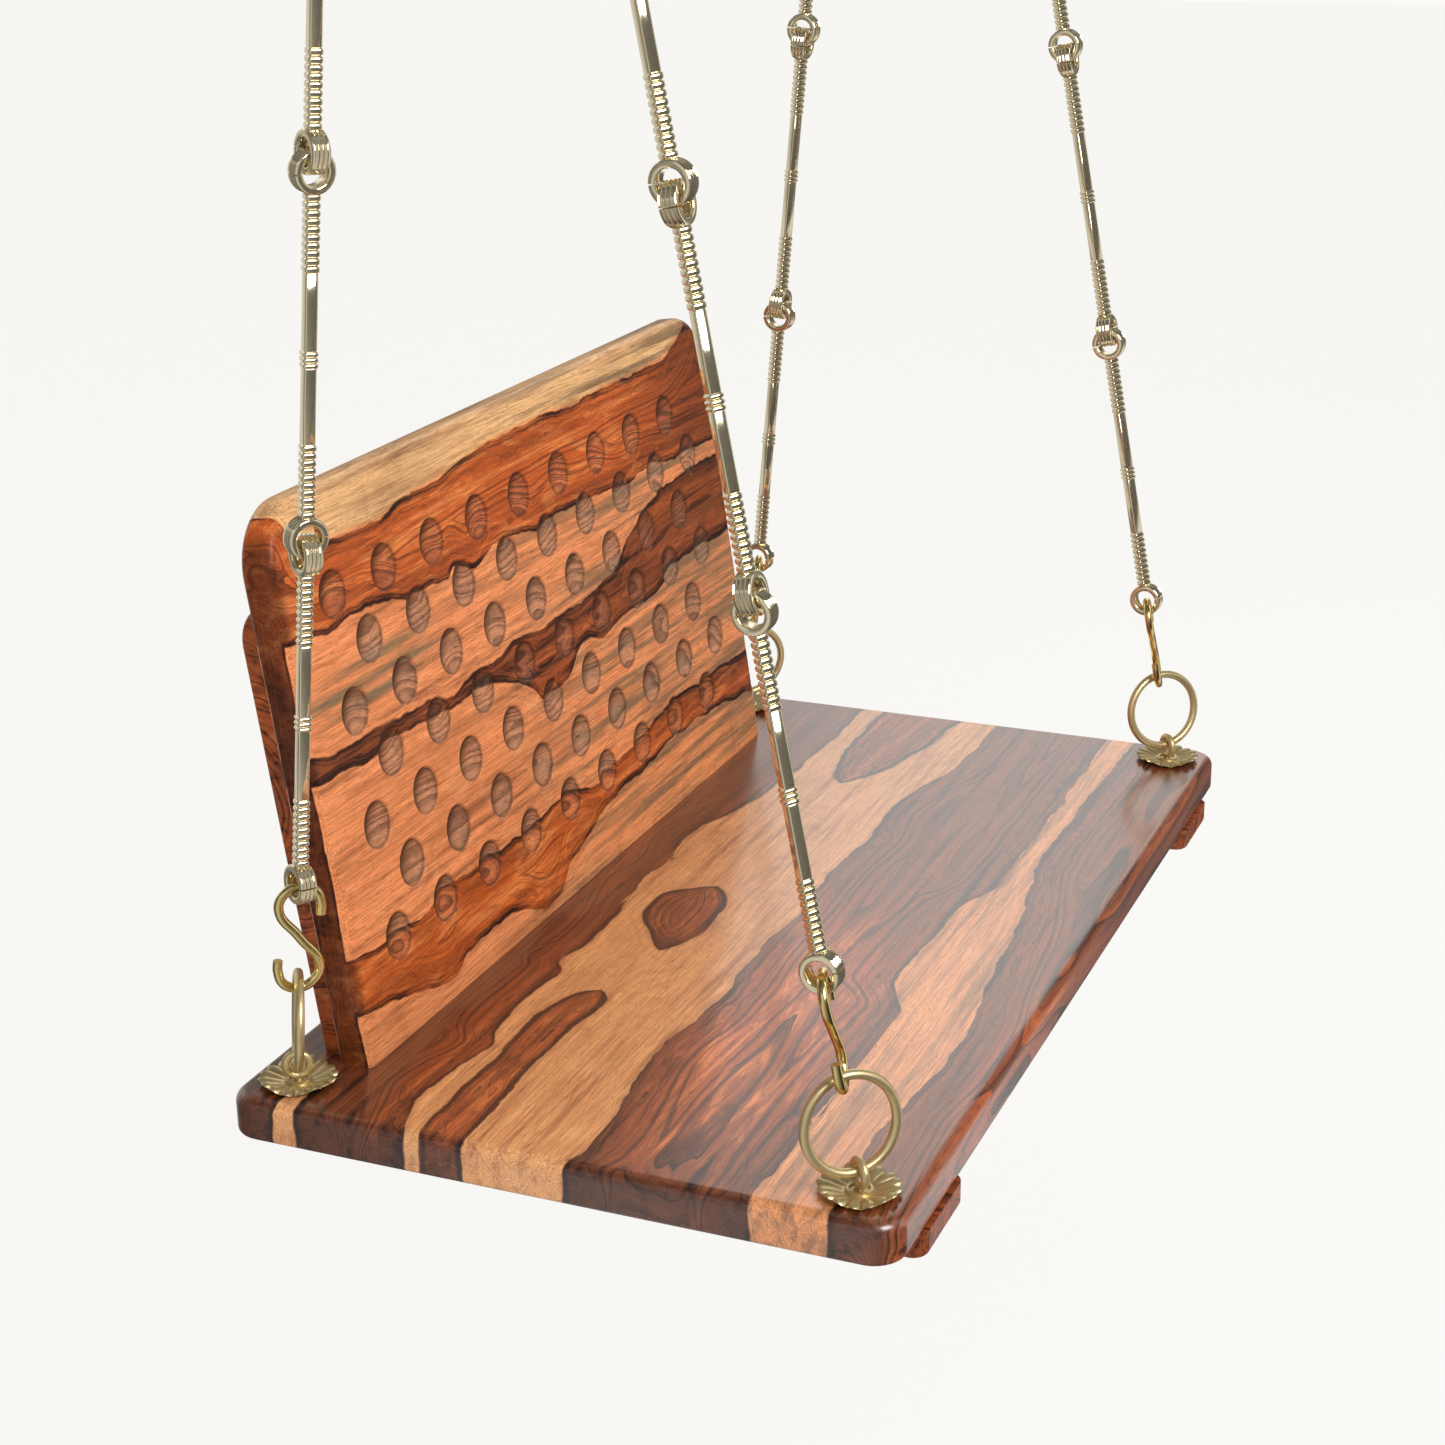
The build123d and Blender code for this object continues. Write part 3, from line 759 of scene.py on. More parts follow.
def back_figure_group():
    """Sapwood bands, stain, painted shade towards the far end and the scoops' mask of the backrest, over all five
    planks.
    """
    if "back_figure" in bpy.data.node_groups:
        return bpy.data.node_groups["back_figure"]
    tree, redness, (along, across, out), within, patch = figure_group("back_figure")
    line = BACK_LINES
    foot = within(line["below"], line["foot_band"])
    low = within(line["low_band_foot"], line["low_band_top"])
    high = within(line["high_band_foot"], line["high_band_top"])
    crown = within(line["crown_band"], line["above"])
    # The near end is heartwood all over.
    sapwood = tree.least(tree.most(foot, low, high, crown), along * 4.0 + 1522)
    top = tree.ramp(across, 285, 320)
    far = tree.ramp(along, 120, 360)
    dark_band = tree.ramp(across, 150, 190) * tree.ramp(across, 270, 300, 1.0, 0.0)
    glow = top * tree.ramp(far, 0.2, 0.9, 1.0, 0.2)
    # A scoop is what lies a little below the face, away from the rounded edges.
    sunk = tree.ramp(out, -0.3, -2.0) * tree.ramp(out, -8.5, -6.5)
    inner = tree.ramp(across, 40, 48) * tree.ramp(across, 402, 394) * tree.ramp(abs(along), 366, 360)
    grey = tree.most(patch(-285, 270, 105, 20), tree.ramp(crown, 2, 10) * 0.25)
    return tree.give(
        Sapwood=sapwood,
        Redness=redness + top * 0.35 - tree.most(dark_band, far) * 0.4,
        Flame=tree.most(glow, tree.ramp(across, 105, 70, 0.0, 0.95)),
        Pale=tree.most(tree.ramp(crown, -2, 4), tree.ramp(foot, -2, 4) * 0.05),
        # Grey stain in a patch and along the crown; the rise along the backrest is painted shade, greyer and darker
        # towards the far end.
        Stain=tree.most(grey, tree.ramp(along, -220, 180, 0.0, 0.75)),
        Hollow=sunk * inner,
        Shade=tree.most(tree.ramp(abs(along), 368, 380, 0.0, 0.9), far * top * 0.6),
    )


def sheesham_group():
    """Figure, pores and colour of sheesham, from a grain vector in millimetres: along, across and out of the face."""
    if "sheesham" in bpy.data.node_groups:
        return bpy.data.node_groups["sheesham"]
    c = colours()
    numbers = {"Seed": 0.0, "Pith Across": 0.0, "Pith Depth": 60.0, "Drift": 0.05, "Spacing": 7.0, "Wander": 14.0}
    numbers.update({"Sapwood": -200.0, "Redness": 0.5, "Darkness": 0.5, "Sap Shade": 0.4, "Pale": 0.5})
    numbers.update({label: 0.0 for label in ("Flame", "Stain", "Hollow", "Mark", "Shade", "Dip")})
    tree, given = new_group("sheesham", {"Grain": None, **numbers})
    ramp = tree.ramp
    grain, seed, wander, hollow = (given[label] for label in ("Grain", "Seed", "Wander", "Hollow"))
    along, across, out = tree.split(grain)

    def noise(lengths, shift=0.0, *details):
        return tree.noise(grain, lengths, seed + shift if shift else seed, *details)

    def swing(size, *place):
        return (noise(*place) - 0.5) * size

    # Distance inside the sapwood, with a ragged border and a broken dark rim along it.
    inside = given["Sapwood"] + (swing(13.0, (46, 60, 60)) + swing(2.6, (9, 16, 16)))
    sap_share = ramp(inside, -0.6, 1.4)
    rim = ramp(inside, -6.5, -0.4) * ramp(inside, -0.4, 1.6, 1.0, 0.0)
    rim = rim * ramp(noise((75, 60, 60), 29.0), 0.4, 0.56, 0.25, 1.0)

    # Growth rings about a wandering pith, which follow the sapwood's border near it.
    fine = swing(wander * 0.34, (60, 11, 12))
    aside = across - given["Pith Across"] + (swing(wander * 2.2, (260, 46, 60)) + fine)
    depth = out + (along * given["Drift"] + given["Pith Depth"]) + swing(wander * 2.6, (380, 90, 90), 7.3)
    radius = tree.math("SQRT", aside * aside + depth * depth)
    beside = out * 1.9 + inside + fine
    rings = (beside - radius) * ramp(abs(given["Sapwood"]), 8, 48, 0.92, 0.0) + radius
    turns = rings / (given["Spacing"] * (given["Mark"] * -0.3 + 1.0))
    uneven = tree.value("ShaderNodeTexNoise", {"W": turns, "Scale": 0.45, "Detail": 2.0}, noise_dimensions="1D")
    turns = turns + uneven * 2.6
    part = tree.math("FRACT", turns)
    late = ramp(part, 0.3, 0.9) * ramp(part, 0.93, 1.0, 1.0, 0.0)
    which = tree.value("ShaderNodeTexWhiteNoise", {"W": tree.math("FLOOR", turns)}, noise_dimensions="1D")
    line = late * (which * 0.8 + 0.2)
    part = tree.math("FRACT", turns * 3.7)
    hair = ramp(part, 0.45, 0.9) * ramp(part, 0.9, 1.0, 1.0, 0.0)

    streak = noise((230, 10, 15), 3.1, 3.0, 0.6)
    cloud = noise((300, 38, 50), 11.7)
    curl = noise((34, 44, 60), 17.2, 3.0, 0.6, 0.8)
    lick = noise((95, 15, 18), 23.0, 3.0, 0.6, 1.4)
    fleck = noise((60, 2.4, 3.5), 41.0, 3.0, 0.6)
    fibre = noise((40, 1.1, 1.1), 0.0, 3.0, 0.7)
    pores = ramp(noise((9, 0.8, 0.9), 5.0, 1.0), 0.6, 0.7) * ramp(cloud, 0.3, 0.6, 0.5, 1.0)

    red = tree.math("ADD", given["Redness"], (cloud - 0.5) * 1.5, clamp=True)
    gloom = ramp(streak, 0.5, 0.22, 0.0, 0.85) * (given["Flame"] * -0.75 + 1.0)
    shadow = (line * 0.85 + gloom + hair * 0.3) * given["Darkness"]
    shadow = shadow + ramp(inside, -34, -1) * ramp(streak, 0.62, 0.4) * 0.3
    shadow = shadow + ramp(inside, -7, -1.5) * given["Mark"] * 0.8
    heart = tree.layered(
        c.heart_brown,
        (red, c.heart_red),
        (ramp(streak, 0.52, 0.75) * red, c.heart_orange),
        (ramp(lick, 0.48, 0.7) * given["Flame"], c.heart_orange),
        (tree.math("ADD", shadow, rim * 0.8, clamp=True), c.heart_dark),
        (given["Shade"] * 0.75, c.heart_dark),
    )
    sap_line = line * 0.32 + ramp(streak, 0.54, 0.28, 0.0, 0.75) + hair * 0.3
    sap = tree.layered(
        c.sap_salmon,
        (given["Pale"], c.sap_tan),
        (ramp(given["Pale"], 0.85, 1.0, 0.0, 0.6), c.sap_light),
        (tree.math("MULTIPLY", sap_line, given["Sap Shade"], clamp=True), c.sap_brown),
        (ramp(curl, 0.5, 0.8) * 0.2, c.sap_light),
        (ramp(fleck, 0.52, 0.7, 0.0, 0.36), c.sap_brown),
        (ramp(cloud, 0.52, 0.3, 0.0, 0.18), c.sap_brown),
        # Grey streaks of stain, and on the backrest painted shade towards its far end.
        (ramp(streak, 0.62, 0.36) * given["Stain"], c.sap_stain_and_shade),
    )
    # Sapwood over heartwood, then the scoops: a duller tone that is partly end grain and partly painted sheen and
    # shade, painted shade on one side and along the lip just inside the rim, and dark rings.
    tone = tree.layered(
        heart,
        (sap_share, sap),
        (hollow * (sap_share * 0.35 + 0.2), c.scoop_grain_and_sheen),
        (ramp(given["Dip"], 0.2, 0.85, 0.0, 0.95), c.heart_dark),
        (hollow * ramp(out, -2.6, -0.9) * 0.75, c.heart_dark),
        (late * hollow * 0.5, c.heart_dark),
    )
    tone = tree.mix(ramp(fibre, 0.3, 0.64, 0.75, 0.0), tone, FIBRE_SHADE, "MULTIPLY")
    tone = tree.layered(tone, (ramp(curl, 0.5, 0.22, 0.0, 0.16), c.heart_dark), (pores * 0.5, c.heart_dark))
    return tree.give(Color=tone, Roughness=fibre * 0.14 + pores * 0.12 + 0.3, Height=fibre * 0.35 - pores)


def surface(name):
    """Starts a material and gives it, its tree and its shader."""
    material = bpy.data.materials.new(name)
    material.use_nodes = True
    return material, Tree(material.node_tree), material.node_tree.nodes["Principled BSDF"]


def dress(tree, shader, finish, relief, **constants):
    """Links a finish group's colour, roughness and fine relief to a shader, and sets the shader's constants."""
    height = Value(tree, finish.outputs["Height"])
    bump = {"Height": height, "Strength": relief, "Distance": RELIEF_DEPTH}
    tree.put(shader.inputs["Base Color"], Value(tree, finish.outputs["Color"]))
    tree.put(shader.inputs["Roughness"], Value(tree, finish.outputs["Roughness"]))
    tree.put(shader.inputs["Normal"], tree.value("ShaderNodeBump", bump))
    for label, number in constants.items():
        tree.put(shader.inputs[label.replace("_", " ")], number)


def painted_shade_value(tree):
    """Gives the share of painted shade kept at a point."""
    return tree.value("ShaderNodeAttribute", output="Fac", attribute_name="groove")


def wood(name, origin, turn=(0.0, 0.0, 0.0), figure=None, gloss=0.2, **look):
    """Lacquered sheesham with its own grain; figure is the group that says where its sapwood and marks lie."""
    material, tree, shader = surface(name)
    spot = tree.value("ShaderNodeTexCoord", output="Object")
    moved = tree.value("ShaderNodeVectorMath", {0: spot, 1: tuple(origin)}, operation="SUBTRACT")
    in_millimetres = {"Vector": moved, "Rotation": turn, "Scale": (1 / MM, 1 / MM, 1 / MM)}
    grain = tree.value("ShaderNodeMapping", in_millimetres)
    inputs = {key.replace("_", " ").title(): number for key, number in look.items()}
    inputs.update({"Grain": grain, "Dip": painted_shade_value(tree)})
    if figure:
        drawn = tree.node("ShaderNodeGroup", {"Grain": grain, "Redness": look["redness"]}, node_tree=figure)
        inputs.update({output.name: Value(tree, output) for output in drawn.outputs})
    timber = tree.node("ShaderNodeGroup", inputs, node_tree=sheesham_group())
    dress(tree, shader, timber, 0.3, Coat_Weight=gloss, Coat_Roughness=0.19, Specular_IOR_Level=0.15 + 0.5 * gloss)
    return material


def tarnish_group():
    """Hand marks, brush lines and painted shade in the grooves that every metal piece shows a little of."""
    if "tarnish" in bpy.data.node_groups:
        return bpy.data.node_groups["tarnish"]
    inputs = {"Brass": (1.0, 1.0, 1.0, 1.0), "Dull": 0.3, "Gloss": 0.2, "Marks": 0.1, "Groove": 0.0}
    tree, given = new_group("tarnish", inputs)
    spot = tree.value("ShaderNodeTexCoord", output="Object")
    cloud = tree.noise(spot, (0.018, 0.018, 0.03), 0.0, 3.0, 0.6)
    speck = tree.noise(spot, (0.0016, 0.0016, 0.0016), 2.0, 2.0, 0.6)
    brush = tree.noise(spot, (0.0009, 0.0009, 0.02), 5.0, 2.0, 0.5)
    dull = tree.ramp(cloud, 0.42, 0.72) * given["Dull"]
    tone = tree.layered(
        given["Brass"],
        (dull, TARNISH),
        (tree.ramp(speck, 0.62, 0.75) * given["Dull"], SPECKS),
        # Painted shade where the piece keeps it: grooves, creases and bores.
        (tree.math("MULTIPLY", given["Groove"], 0.9, clamp=True), GROOVE_SHADE),
    )
    rough = given["Gloss"] + dull * 0.35 + brush * given["Marks"]
    return tree.give(Color=tone, Roughness=rough, Height=brush + speck * 0.5)


def metal(name):
    """Gives a metal finish from the table."""
    if name in bpy.data.materials:
        return bpy.data.materials[name]
    tint, dull, gloss, marks, relief, metallic = METALS[name]
    material, tree, shader = surface(name)
    inputs = {"Brass": getattr(colours(), tint), "Dull": dull, "Gloss": gloss, "Marks": marks}
    inputs["Groove"] = painted_shade_value(tree)
    wear = tree.node("ShaderNodeGroup", inputs, node_tree=tarnish_group())
    dress(tree, shader, wear, relief, Metallic=metallic)
    return material


def seat_seams():
    """Gives the seat's front edge, its seams and its back edge, from its middle."""
    s = sizes()
    return [reach - s.seat_depth / 2 for reach in (0, s.front_seam, s.middle_seam, s.back_seam, s.seat_depth)]


class SWING_OT_seat_planks(bpy.types.Operator):
    """Model the seat's rounded slab and cut it into its planks"""

    bl_idname = "swing.seat_planks"
    bl_label = "Seat Planks"

    def execute(self, context):
        s = sizes()
        slab = block("slab", (s.seat_length, s.seat_depth, s.seat_thickness), (0, 0, -s.seat_thickness / 2))
        with editing(slab):
            round_edges(slab, lambda edge: span(edge, Z) > s.seat_thickness / 2, s.seat_corner, 12)
            round_edges(slab, lambda edge: lowest(edge, Z) > -NEAR, s.seat_edge, 8)
            round_edges(slab, lambda edge: highest(edge, Z) < NEAR - s.seat_thickness, s.low_edge, 4)
        slab.data.transform(seat_place())
        seams = [SEAT_Y + seam for seam in seat_seams()]

        def on_seam(edge):
            return all(
                min(abs(vert.co.y - seam) for seam in seams) < TOUCH and vert.co.z > SEAT_TOP - NEAR
                for vert in edge.verts
            )

        for index, (name, look) in enumerate(SEAT_LOOKS.items()):
            plank = copy_of(slab, "plank_" + name)
            if index > 0:
                cut(plank, (0, seams[index], 0), (0, -1, 0))
            if index < len(SEAT_LOOKS) - 1:
                cut(plank, (0, seams[index + 1], 0), (0, 1, 0))
            with editing(plank):
                round_edges(plank, on_seam, s.seam_groove, 1)
            even_shading(plank)
            finish = wood(
                name.replace("mid", "middle") + "_plank_wood", (0, SEAT_Y, SEAT_TOP), figure=seat_figure_group(),
                gloss=SEAT_GLOSS, **dict(zip(LOOK, look)),
            )
            settle(plank, "seat_plank_" + name, "seat", finish, 50)
        drop(slab)
        return {"FINISHED"}


class SWING_OT_back_planks(bpy.types.Operator):
    """Model the backrest's slab, hollow its scoops and cut it into its planks"""

    bl_idname = "swing.back_planks"
    bl_label = "Backrest Planks"

    def execute(self, context):
        s = sizes()
        slab = self.slab()
        self.scoop(slab)
        place = back_place()
        slab.data.transform(place)
        cut(slab, (0, 0, SEAT_TOP), (0, 0, -1))
        up = place.to_3x3().col[1]
        base = place.translation
        step = s.back_height / len(BACK_LOOKS)
        for number, look in enumerate(BACK_LOOKS, 1):
            plank = copy_of(slab, f"backrest_plank_{number}")
            if number > 1:
                cut(plank, base + up * step * (number - 1), -up)
            if number < len(BACK_LOOKS):
                cut(plank, base + up * step * number, up)
            even_shading(plank)
            finish = wood(
                f"backrest_wood_{number}", base, (s.back_lean - math.pi / 2, 0, 0), back_figure_group(), BACK_GLOSS,
                **dict(zip(LOOK, look)),
            )
            settle(plank, f"back_plank_{number}", "seat", finish, 50)
        drop(slab)
        return {"FINISHED"}

    def slab(self):
        """Models the rounded slab, with a foot that reaches below the seat's top."""
        s = sizes()
        foot = -20 * MM
        tall = s.back_height - foot
        slab = block("slab", (s.back_length, tall, s.back_thickness), (0, foot + tall / 2, -s.back_thickness / 2))
        crown = lambda edge: lowest(edge, Y) > s.back_height - NEAR and span(edge, Z) > s.back_thickness / 2
        rim = lambda edge: span(edge, Z) < NEAR and highest(edge, Y) > foot + CLEAR
        with editing(slab):
            round_edges(slab, crown, s.back_corner, 16)
            round_edges(slab, rim, s.back_edge, 8)
        return slab

    def scoop(self, slab):
        """Hollows the rows of scoops, softens their rims and keeps a painted shade on their upper left sides."""
        s = sizes()
        half, rim_round = s.scoop_width / 2, 0.6 * MM
        radius = (half**2 + s.scoop_depth**2) / (2 * s.scoop_depth)
        clear_selection()
        bpy.ops.mesh.primitive_uv_sphere_add(segments=40, ring_count=64, radius=radius)
        ball = bpy.context.object
        ball.data.transform(Matrix.Translation((0, 0, radius - s.scoop_depth)))
        cut(ball, (0, 0, 2 * MM), (0, 0, 1))
        spots = []
        for row in range(SCOOP_ROWS):
            shift = s.scoop_along / 4 if row % 2 else -s.scoop_along / 4
            for column in range(SCOOP_COLUMNS):
                along = (column - (SCOOP_COLUMNS - 1) / 2) * s.scoop_along + shift
                spots.append(Vector((along, s.scoop_first + row * s.scoop_up, 0)))
        balls = [copy_of(ball, "ball", Matrix.Translation(spot)) for spot in spots]
        drop(ball)
        carve(slab, join(balls, "balls"))

        def scoop_rim(edge):
            if any(abs(vert.co.z) > NEAR for vert in edge.verts):
                return False
            middle = (edge.verts[0].co + edge.verts[1].co) / 2
            spot = min(spots, key=lambda centre: (centre - middle).length_squared)
            return all(abs((vert.co - spot).length - half) < 2 * CLEAR for vert in edge.verts)

        # Painted shade inside each scoop, strongest on its upper left side.
        def shaded_side(spot):
            centre = min(spots, key=lambda other: (other.xy - spot.xy).length_squared)
            off = (spot.xy - centre.xy) / half
            if off.length > 1.05 or not -s.scoop_depth - CLEAR < spot.z < -0.2 * MM:
                return 0.0
            return limited(0.35 + 0.65 * (0.55 * off.y - 0.85 * off.x))

        with editing(slab):
            round_edges(slab, scoop_rim, rim_round, 2)
        keep_painted_shade(slab, shaded_side)


class SWING_OT_strips(bpy.types.Operator):
    """Model the cleats under the seat and the battens behind the backrest, with their screws"""

    bl_idname = "swing.strips"
    bl_label = "Cleats and Battens"

    def execute(self, context):
        s = sizes()
        screws = []
        seams = seat_seams()
        plank_middles = [(near + far) / 2 for near, far in zip(seams, seams[1:])]
        reach = s.seat_depth / 2 + s.cleat_overhang
        below_seat = -30 * MM
        planks = len(BACK_LOOKS)
        rows = [s.back_height * (number + 0.5) / planks for number in range(planks - 1)]
        for name, side in SIDES.items():
            centre = side * s.cleat_centre
            cleat = self.strip(
                "cleat_strip_" + name, centre, (-reach, reach), s.seat_thickness, s.cleat_corner, False,
                plank_middles, seat_place(), screws,
            )
            finish = wood(
                "cleat_wood_" + name, (centre, SEAT_Y, SEAT_TOP), (0, 0, math.pi / 2), seed=61.0 + side,
                pith_across=20, pith_depth=40, spacing=6.0, redness=0.3, darkness=1.0,
            )
            settle(cleat, "cleat_" + name, "seat", finish, 50)

            centre = side * s.batten_centre
            batten = self.strip(
                "batten_strip_" + name, centre, (below_seat, s.batten_height), s.back_thickness, s.batten_corner, True,
                rows, back_place(), screws,
            )
            spot = back_place() @ Vector((centre, 0, -s.back_thickness))
            finish = wood(
                "batten_wood_" + name, spot, (s.back_lean - math.pi / 2, 0, 0), seed=71.0 + side,
                pith_across=200, pith_depth=40, spacing=6.0, redness=0.45, darkness=0.9,
            )
            settle(batten, "batten_" + name, "seat", finish, 50)
        settle(join(screws, "screw_set"), None, "seat", metal("plated_steel"), 30)
        return {"FINISHED"}

    def strip(self, name, centre, ends, board, corner, standing, rows, place, screws):
        """Models a strip on the back of a board; a standing one has a square foot, cut level with the seat's top."""
        s = sizes()
        low, high = ends
        outer = -board - s.strip_thickness
        middle = (centre, (low + high) / 2, outer + s.strip_thickness / 2)
        piece = block(name, (s.strip_width, high - low, s.strip_thickness), middle)
        square_below = low + CLEAR if standing else low - CLEAR
        upright = lambda edge: span(edge, Z) > s.strip_thickness / 2 and lowest(edge, Y) > square_below
        rim = lambda edge: highest(edge, Z) < outer + NEAR and highest(edge, Y) > square_below
        with editing(piece):
            round_edges(piece, upright, corner, 8)
            round_edges(piece, rim, s.low_edge, 5)
        spots = [(centre + shift, y) for y in rows for shift in (-s.screw_shift, s.screw_shift)]
        screws += self.sink_screws(piece, spots, outer, place)
        piece.data.transform(place)
        if standing:
            cut(piece, (0, 0, SEAT_TOP), (0, 0, -1))
        even_shading(piece)
        return piece

    def sink_screws(self, strip, spots, face, place):
        """Countersinks screw holes into a strip's outer face and gives the cross-slotted heads in them, at a place."""
        radius, tall, sunk = sizes().screw_head / 2, 2.6 * MM, 0.35 * MM
        long_side, short_side, slot_depth = 1.1 * radius, 0.2 * radius, 1.6 * MM
        holes, heads = [], []
        for x, y in spots:
            holes.append(cone("hole", x, y, face - sunk, face + tall, radius + sunk, radius - tall + sunk))
            head = cone("screw", x, y, face + sunk, face + tall, radius - sunk, radius - tall)
            for wide, deep in ((long_side, short_side), (short_side, long_side)):
                carve(head, block("slot", (wide, deep, slot_depth), (x, y, face + sunk)))
            head.data.transform(place)
            heads.append(head)
        carve(strip, join(holes, "holes"))
        return heads


def corner_spots():
    """Gives the places of the eye bolts on the seat's top."""
    s = sizes()
    reach = s.seat_depth / 2 - s.eye_inset
    return {
        name: Vector((along * CHAIN_X, SEAT_Y + across * reach, SEAT_TOP)) for name, (along, across) in CORNERS.items()
    }


def chain_places():
    """Gives each chain's frame and length: its foot on its eye bolt, z up its line and x along the seat."""
    places = {}
    for name, spot in corner_spots().items():
        foot = Vector((spot.x, spot.y, CHAIN_FOOT))
        head = Vector((spot.x, CORNERS[name][1] * sizes().chain_gap, CHAIN_TOP))
        places[name] = (axes(foot, (1, 0, 0), head - foot), (head - foot).length)
    return places


def chain_body(name):
    """Gives the body that a corner's chain belongs to."""
    return name.split("_")[1] + "_chains"


def chain_heights():
    """Gives the heights up a chain of the lower hook, the first link, one link's step and the upper hook."""
    s = sizes()
    inside = s.hook_loop / 2 - s.wire / 2
    sag = inside - math.sqrt(inside**2 - s.link_eye_width**2 / 4)
    from_eye = s.link_bore / 2 - sag - s.play - s.wire / 2
    link_gap, turn_play = 0.35 * MM, 0.7 * MM
    link_step = s.link_centres + 2 * math.sqrt(s.link_bore**2 / 4 - s.link_eye_width**2 / 4) - link_gap
    low_hook = s.ring_width - s.wire - s.play
    first = low_hook + s.hook_height + from_eye - turn_play
    last = first + (LINK_COUNT - 1) * link_step + s.link_centres
    return low_hook, first, link_step, last + from_eye


def link_bar(turn):
    """Models a link's square bar with ribbed ends and a banded middle, turned about its length."""
    s = sizes()
    wall = (s.link_eye - s.link_bore) / 2
    start = s.link_eye / 2 - wall / 2
    rib_start, ribbed = s.link_eye / 2 - 1 * MM, 51 * MM
    bands, banded = 3, 11.6 * MM
    corner, lead_out, lead_in = 1.2 * MM, 0.4 * MM, 0.5 * MM
    band_start = (s.link_centres - banded) / 2
    end = [
        (rib_start + (rib + share) * ribbed / s.ribs, side) for rib in range(s.ribs) for share, side in RIB_SHAPE
    ]
    end += [(rib_start + ribbed + lead_out, BAR_SIDE), (band_start - lead_in, BAR_SIDE)]
    stations = end + [
        (band_start + (band + share) * banded / bands, side) for band in range(bands) for share, side in BAND_SHAPE
    ]
    stations += [(s.link_centres - height, side) for height, side in reversed(end)]
    stations += [(s.link_centres - start, BAR_SIDE)]
    clear_selection()
    bpy.ops.mesh.primitive_plane_add(size=s.link_bar, location=(0, 0, start))
    bar = added("bar")
    with editing(bar):
        pick_all()
        bpy.ops.mesh.bevel(offset=corner, segments=3, affect="VERTICES")
        pick_all()
        sweep(stations, start, BAR_SIDE)
    outward(bar)
    side_at = {round(height / MM, 1): side for height, side in stations}
    # Painted shade in the narrow necks between the ribs and the bands.
    keep_painted_shade(bar, lambda spot: limited((8.4 - side_at.get(round(spot.z / MM, 1), BAR_SIDE)) / 0.8))
    bar.data.transform(Matrix.Rotation(math.radians(turn), 4, "Z"))
    return bar


def link_eye():
    """Models a link's eye: a flat bar with three ridges bent round, with a fine gap where it closes."""
    s = sizes()
    outer = s.link_eye / 2
    wall = outer - s.link_bore / 2
    edge_round, ripple = 1.9 * MM, 0.45 * MM
    flat = s.link_eye_width - 2 * edge_round
    gap = 1.2 * MM / outer
    clear_selection()
    bpy.ops.mesh.primitive_plane_add(size=1, location=(0, outer - wall / 2, 0))
    bpy.context.object.scale = (s.link_eye_width, wall, 1)
    eye = added("eye")
    with editing(eye):
        pick_all()
        bpy.ops.mesh.bevel(offset=edge_round, segments=4, affect="VERTICES")
        pick(eye, "EDGE", lambda edge: lowest(edge, Y) > outer - TOUCH)
        bpy.ops.mesh.subdivide(number_cuts=17)
        shape = bmesh.from_edit_mesh(eye.data)
        for vert in shape.verts:
            if vert.co.y > outer - TOUCH:
                vert.co.y -= ripple * (1 - math.cos(vert.co.x / flat * 6 * math.pi))
        bmesh.update_edit_mesh(eye.data)
        pick_all()
        bpy.ops.mesh.spin(steps=44, angle=2 * math.pi - gap, center=(0, 0, 0), axis=(1, 0, 0))
    eye.data.transform(Matrix.Rotation(gap / 2, 4, "X"))
    with editing(eye):
        pick_all()
        bpy.ops.mesh.remove_doubles(threshold=TOUCH)
        bpy.ops.mesh.fill_holes(sides=0)
        bpy.ops.mesh.normals_make_consistent(inside=False)

    # Painted shade between the eye's ridges, and a little near and inside its bore.
    def depth(spot):
        sunk = (outer - spot.yz.length) / (2 * ripple)
        if abs(spot.x) < flat / 2 and sunk < 1.05:
            return limited(sunk)
        return 0.25 if sunk > 4 else 0.0

    keep_painted_shade(eye, depth)
    return eye


class SWING_OT_chain_links(bpy.types.Operator):
    """Model one chain link and copy it up the four chains"""

    bl_idname = "swing.chain_links"
    bl_label = "Chain Links"

    def execute(self, context):
        _, first, step, _ = chain_heights()
        upper = Matrix.Translation((0, 0, sizes().link_centres)) @ Matrix.Rotation(math.pi, 4, "X")
        for name, (place, _) in chain_places().items():
            bar = link_bar(BAR_TURN - LINK_TURN[name])
            eye = link_eye()
            master = join([bar, eye, copy_of(eye, "eye", upper)], "link")
            for number in range(LINK_COUNT):
                turn = math.radians(LINK_TURN[name] + 90 * (number + 1))
                spot = place @ Matrix.Translation((0, 0, first + number * step)) @ Matrix.Rotation(turn, 4, "Z")
                piece = copy_of(master, f"brass_link_{name}_{number + 1}", spot)
                finish = metal("polished_brass")
                settle(piece, f"link_{name}_{number + 1}", chain_body(name), finish, 40)
            drop(master)
        return {"FINISHED"}


def ring_master(width, thickness):
    """Models one ring bent from drawn wire, with the fine seam where its ends meet."""
    clear_selection()
    bpy.ops.mesh.primitive_torus_add(
        major_segments=72, minor_segments=20, major_radius=width / 2, minor_radius=thickness / 2
    )
    ring = bpy.context.object
    pinch = (0.988, 1, 0.9)
    with editing(ring):
        pick(ring, "VERT", lambda vert: vert.co.x > 0 and abs(vert.co.y) < TOUCH)
        bpy.ops.transform.resize(value=pinch, center_override=(width / 2, 0, 0))
    return ring


def upright(height, turn):
    """Gives the place of a ring that stands on its edge about a height, turned about the vertical."""
    turn = math.radians(turn)
    return axes((0, 0, height), (0, 0, 1), (-math.sin(turn), math.cos(turn), 0))


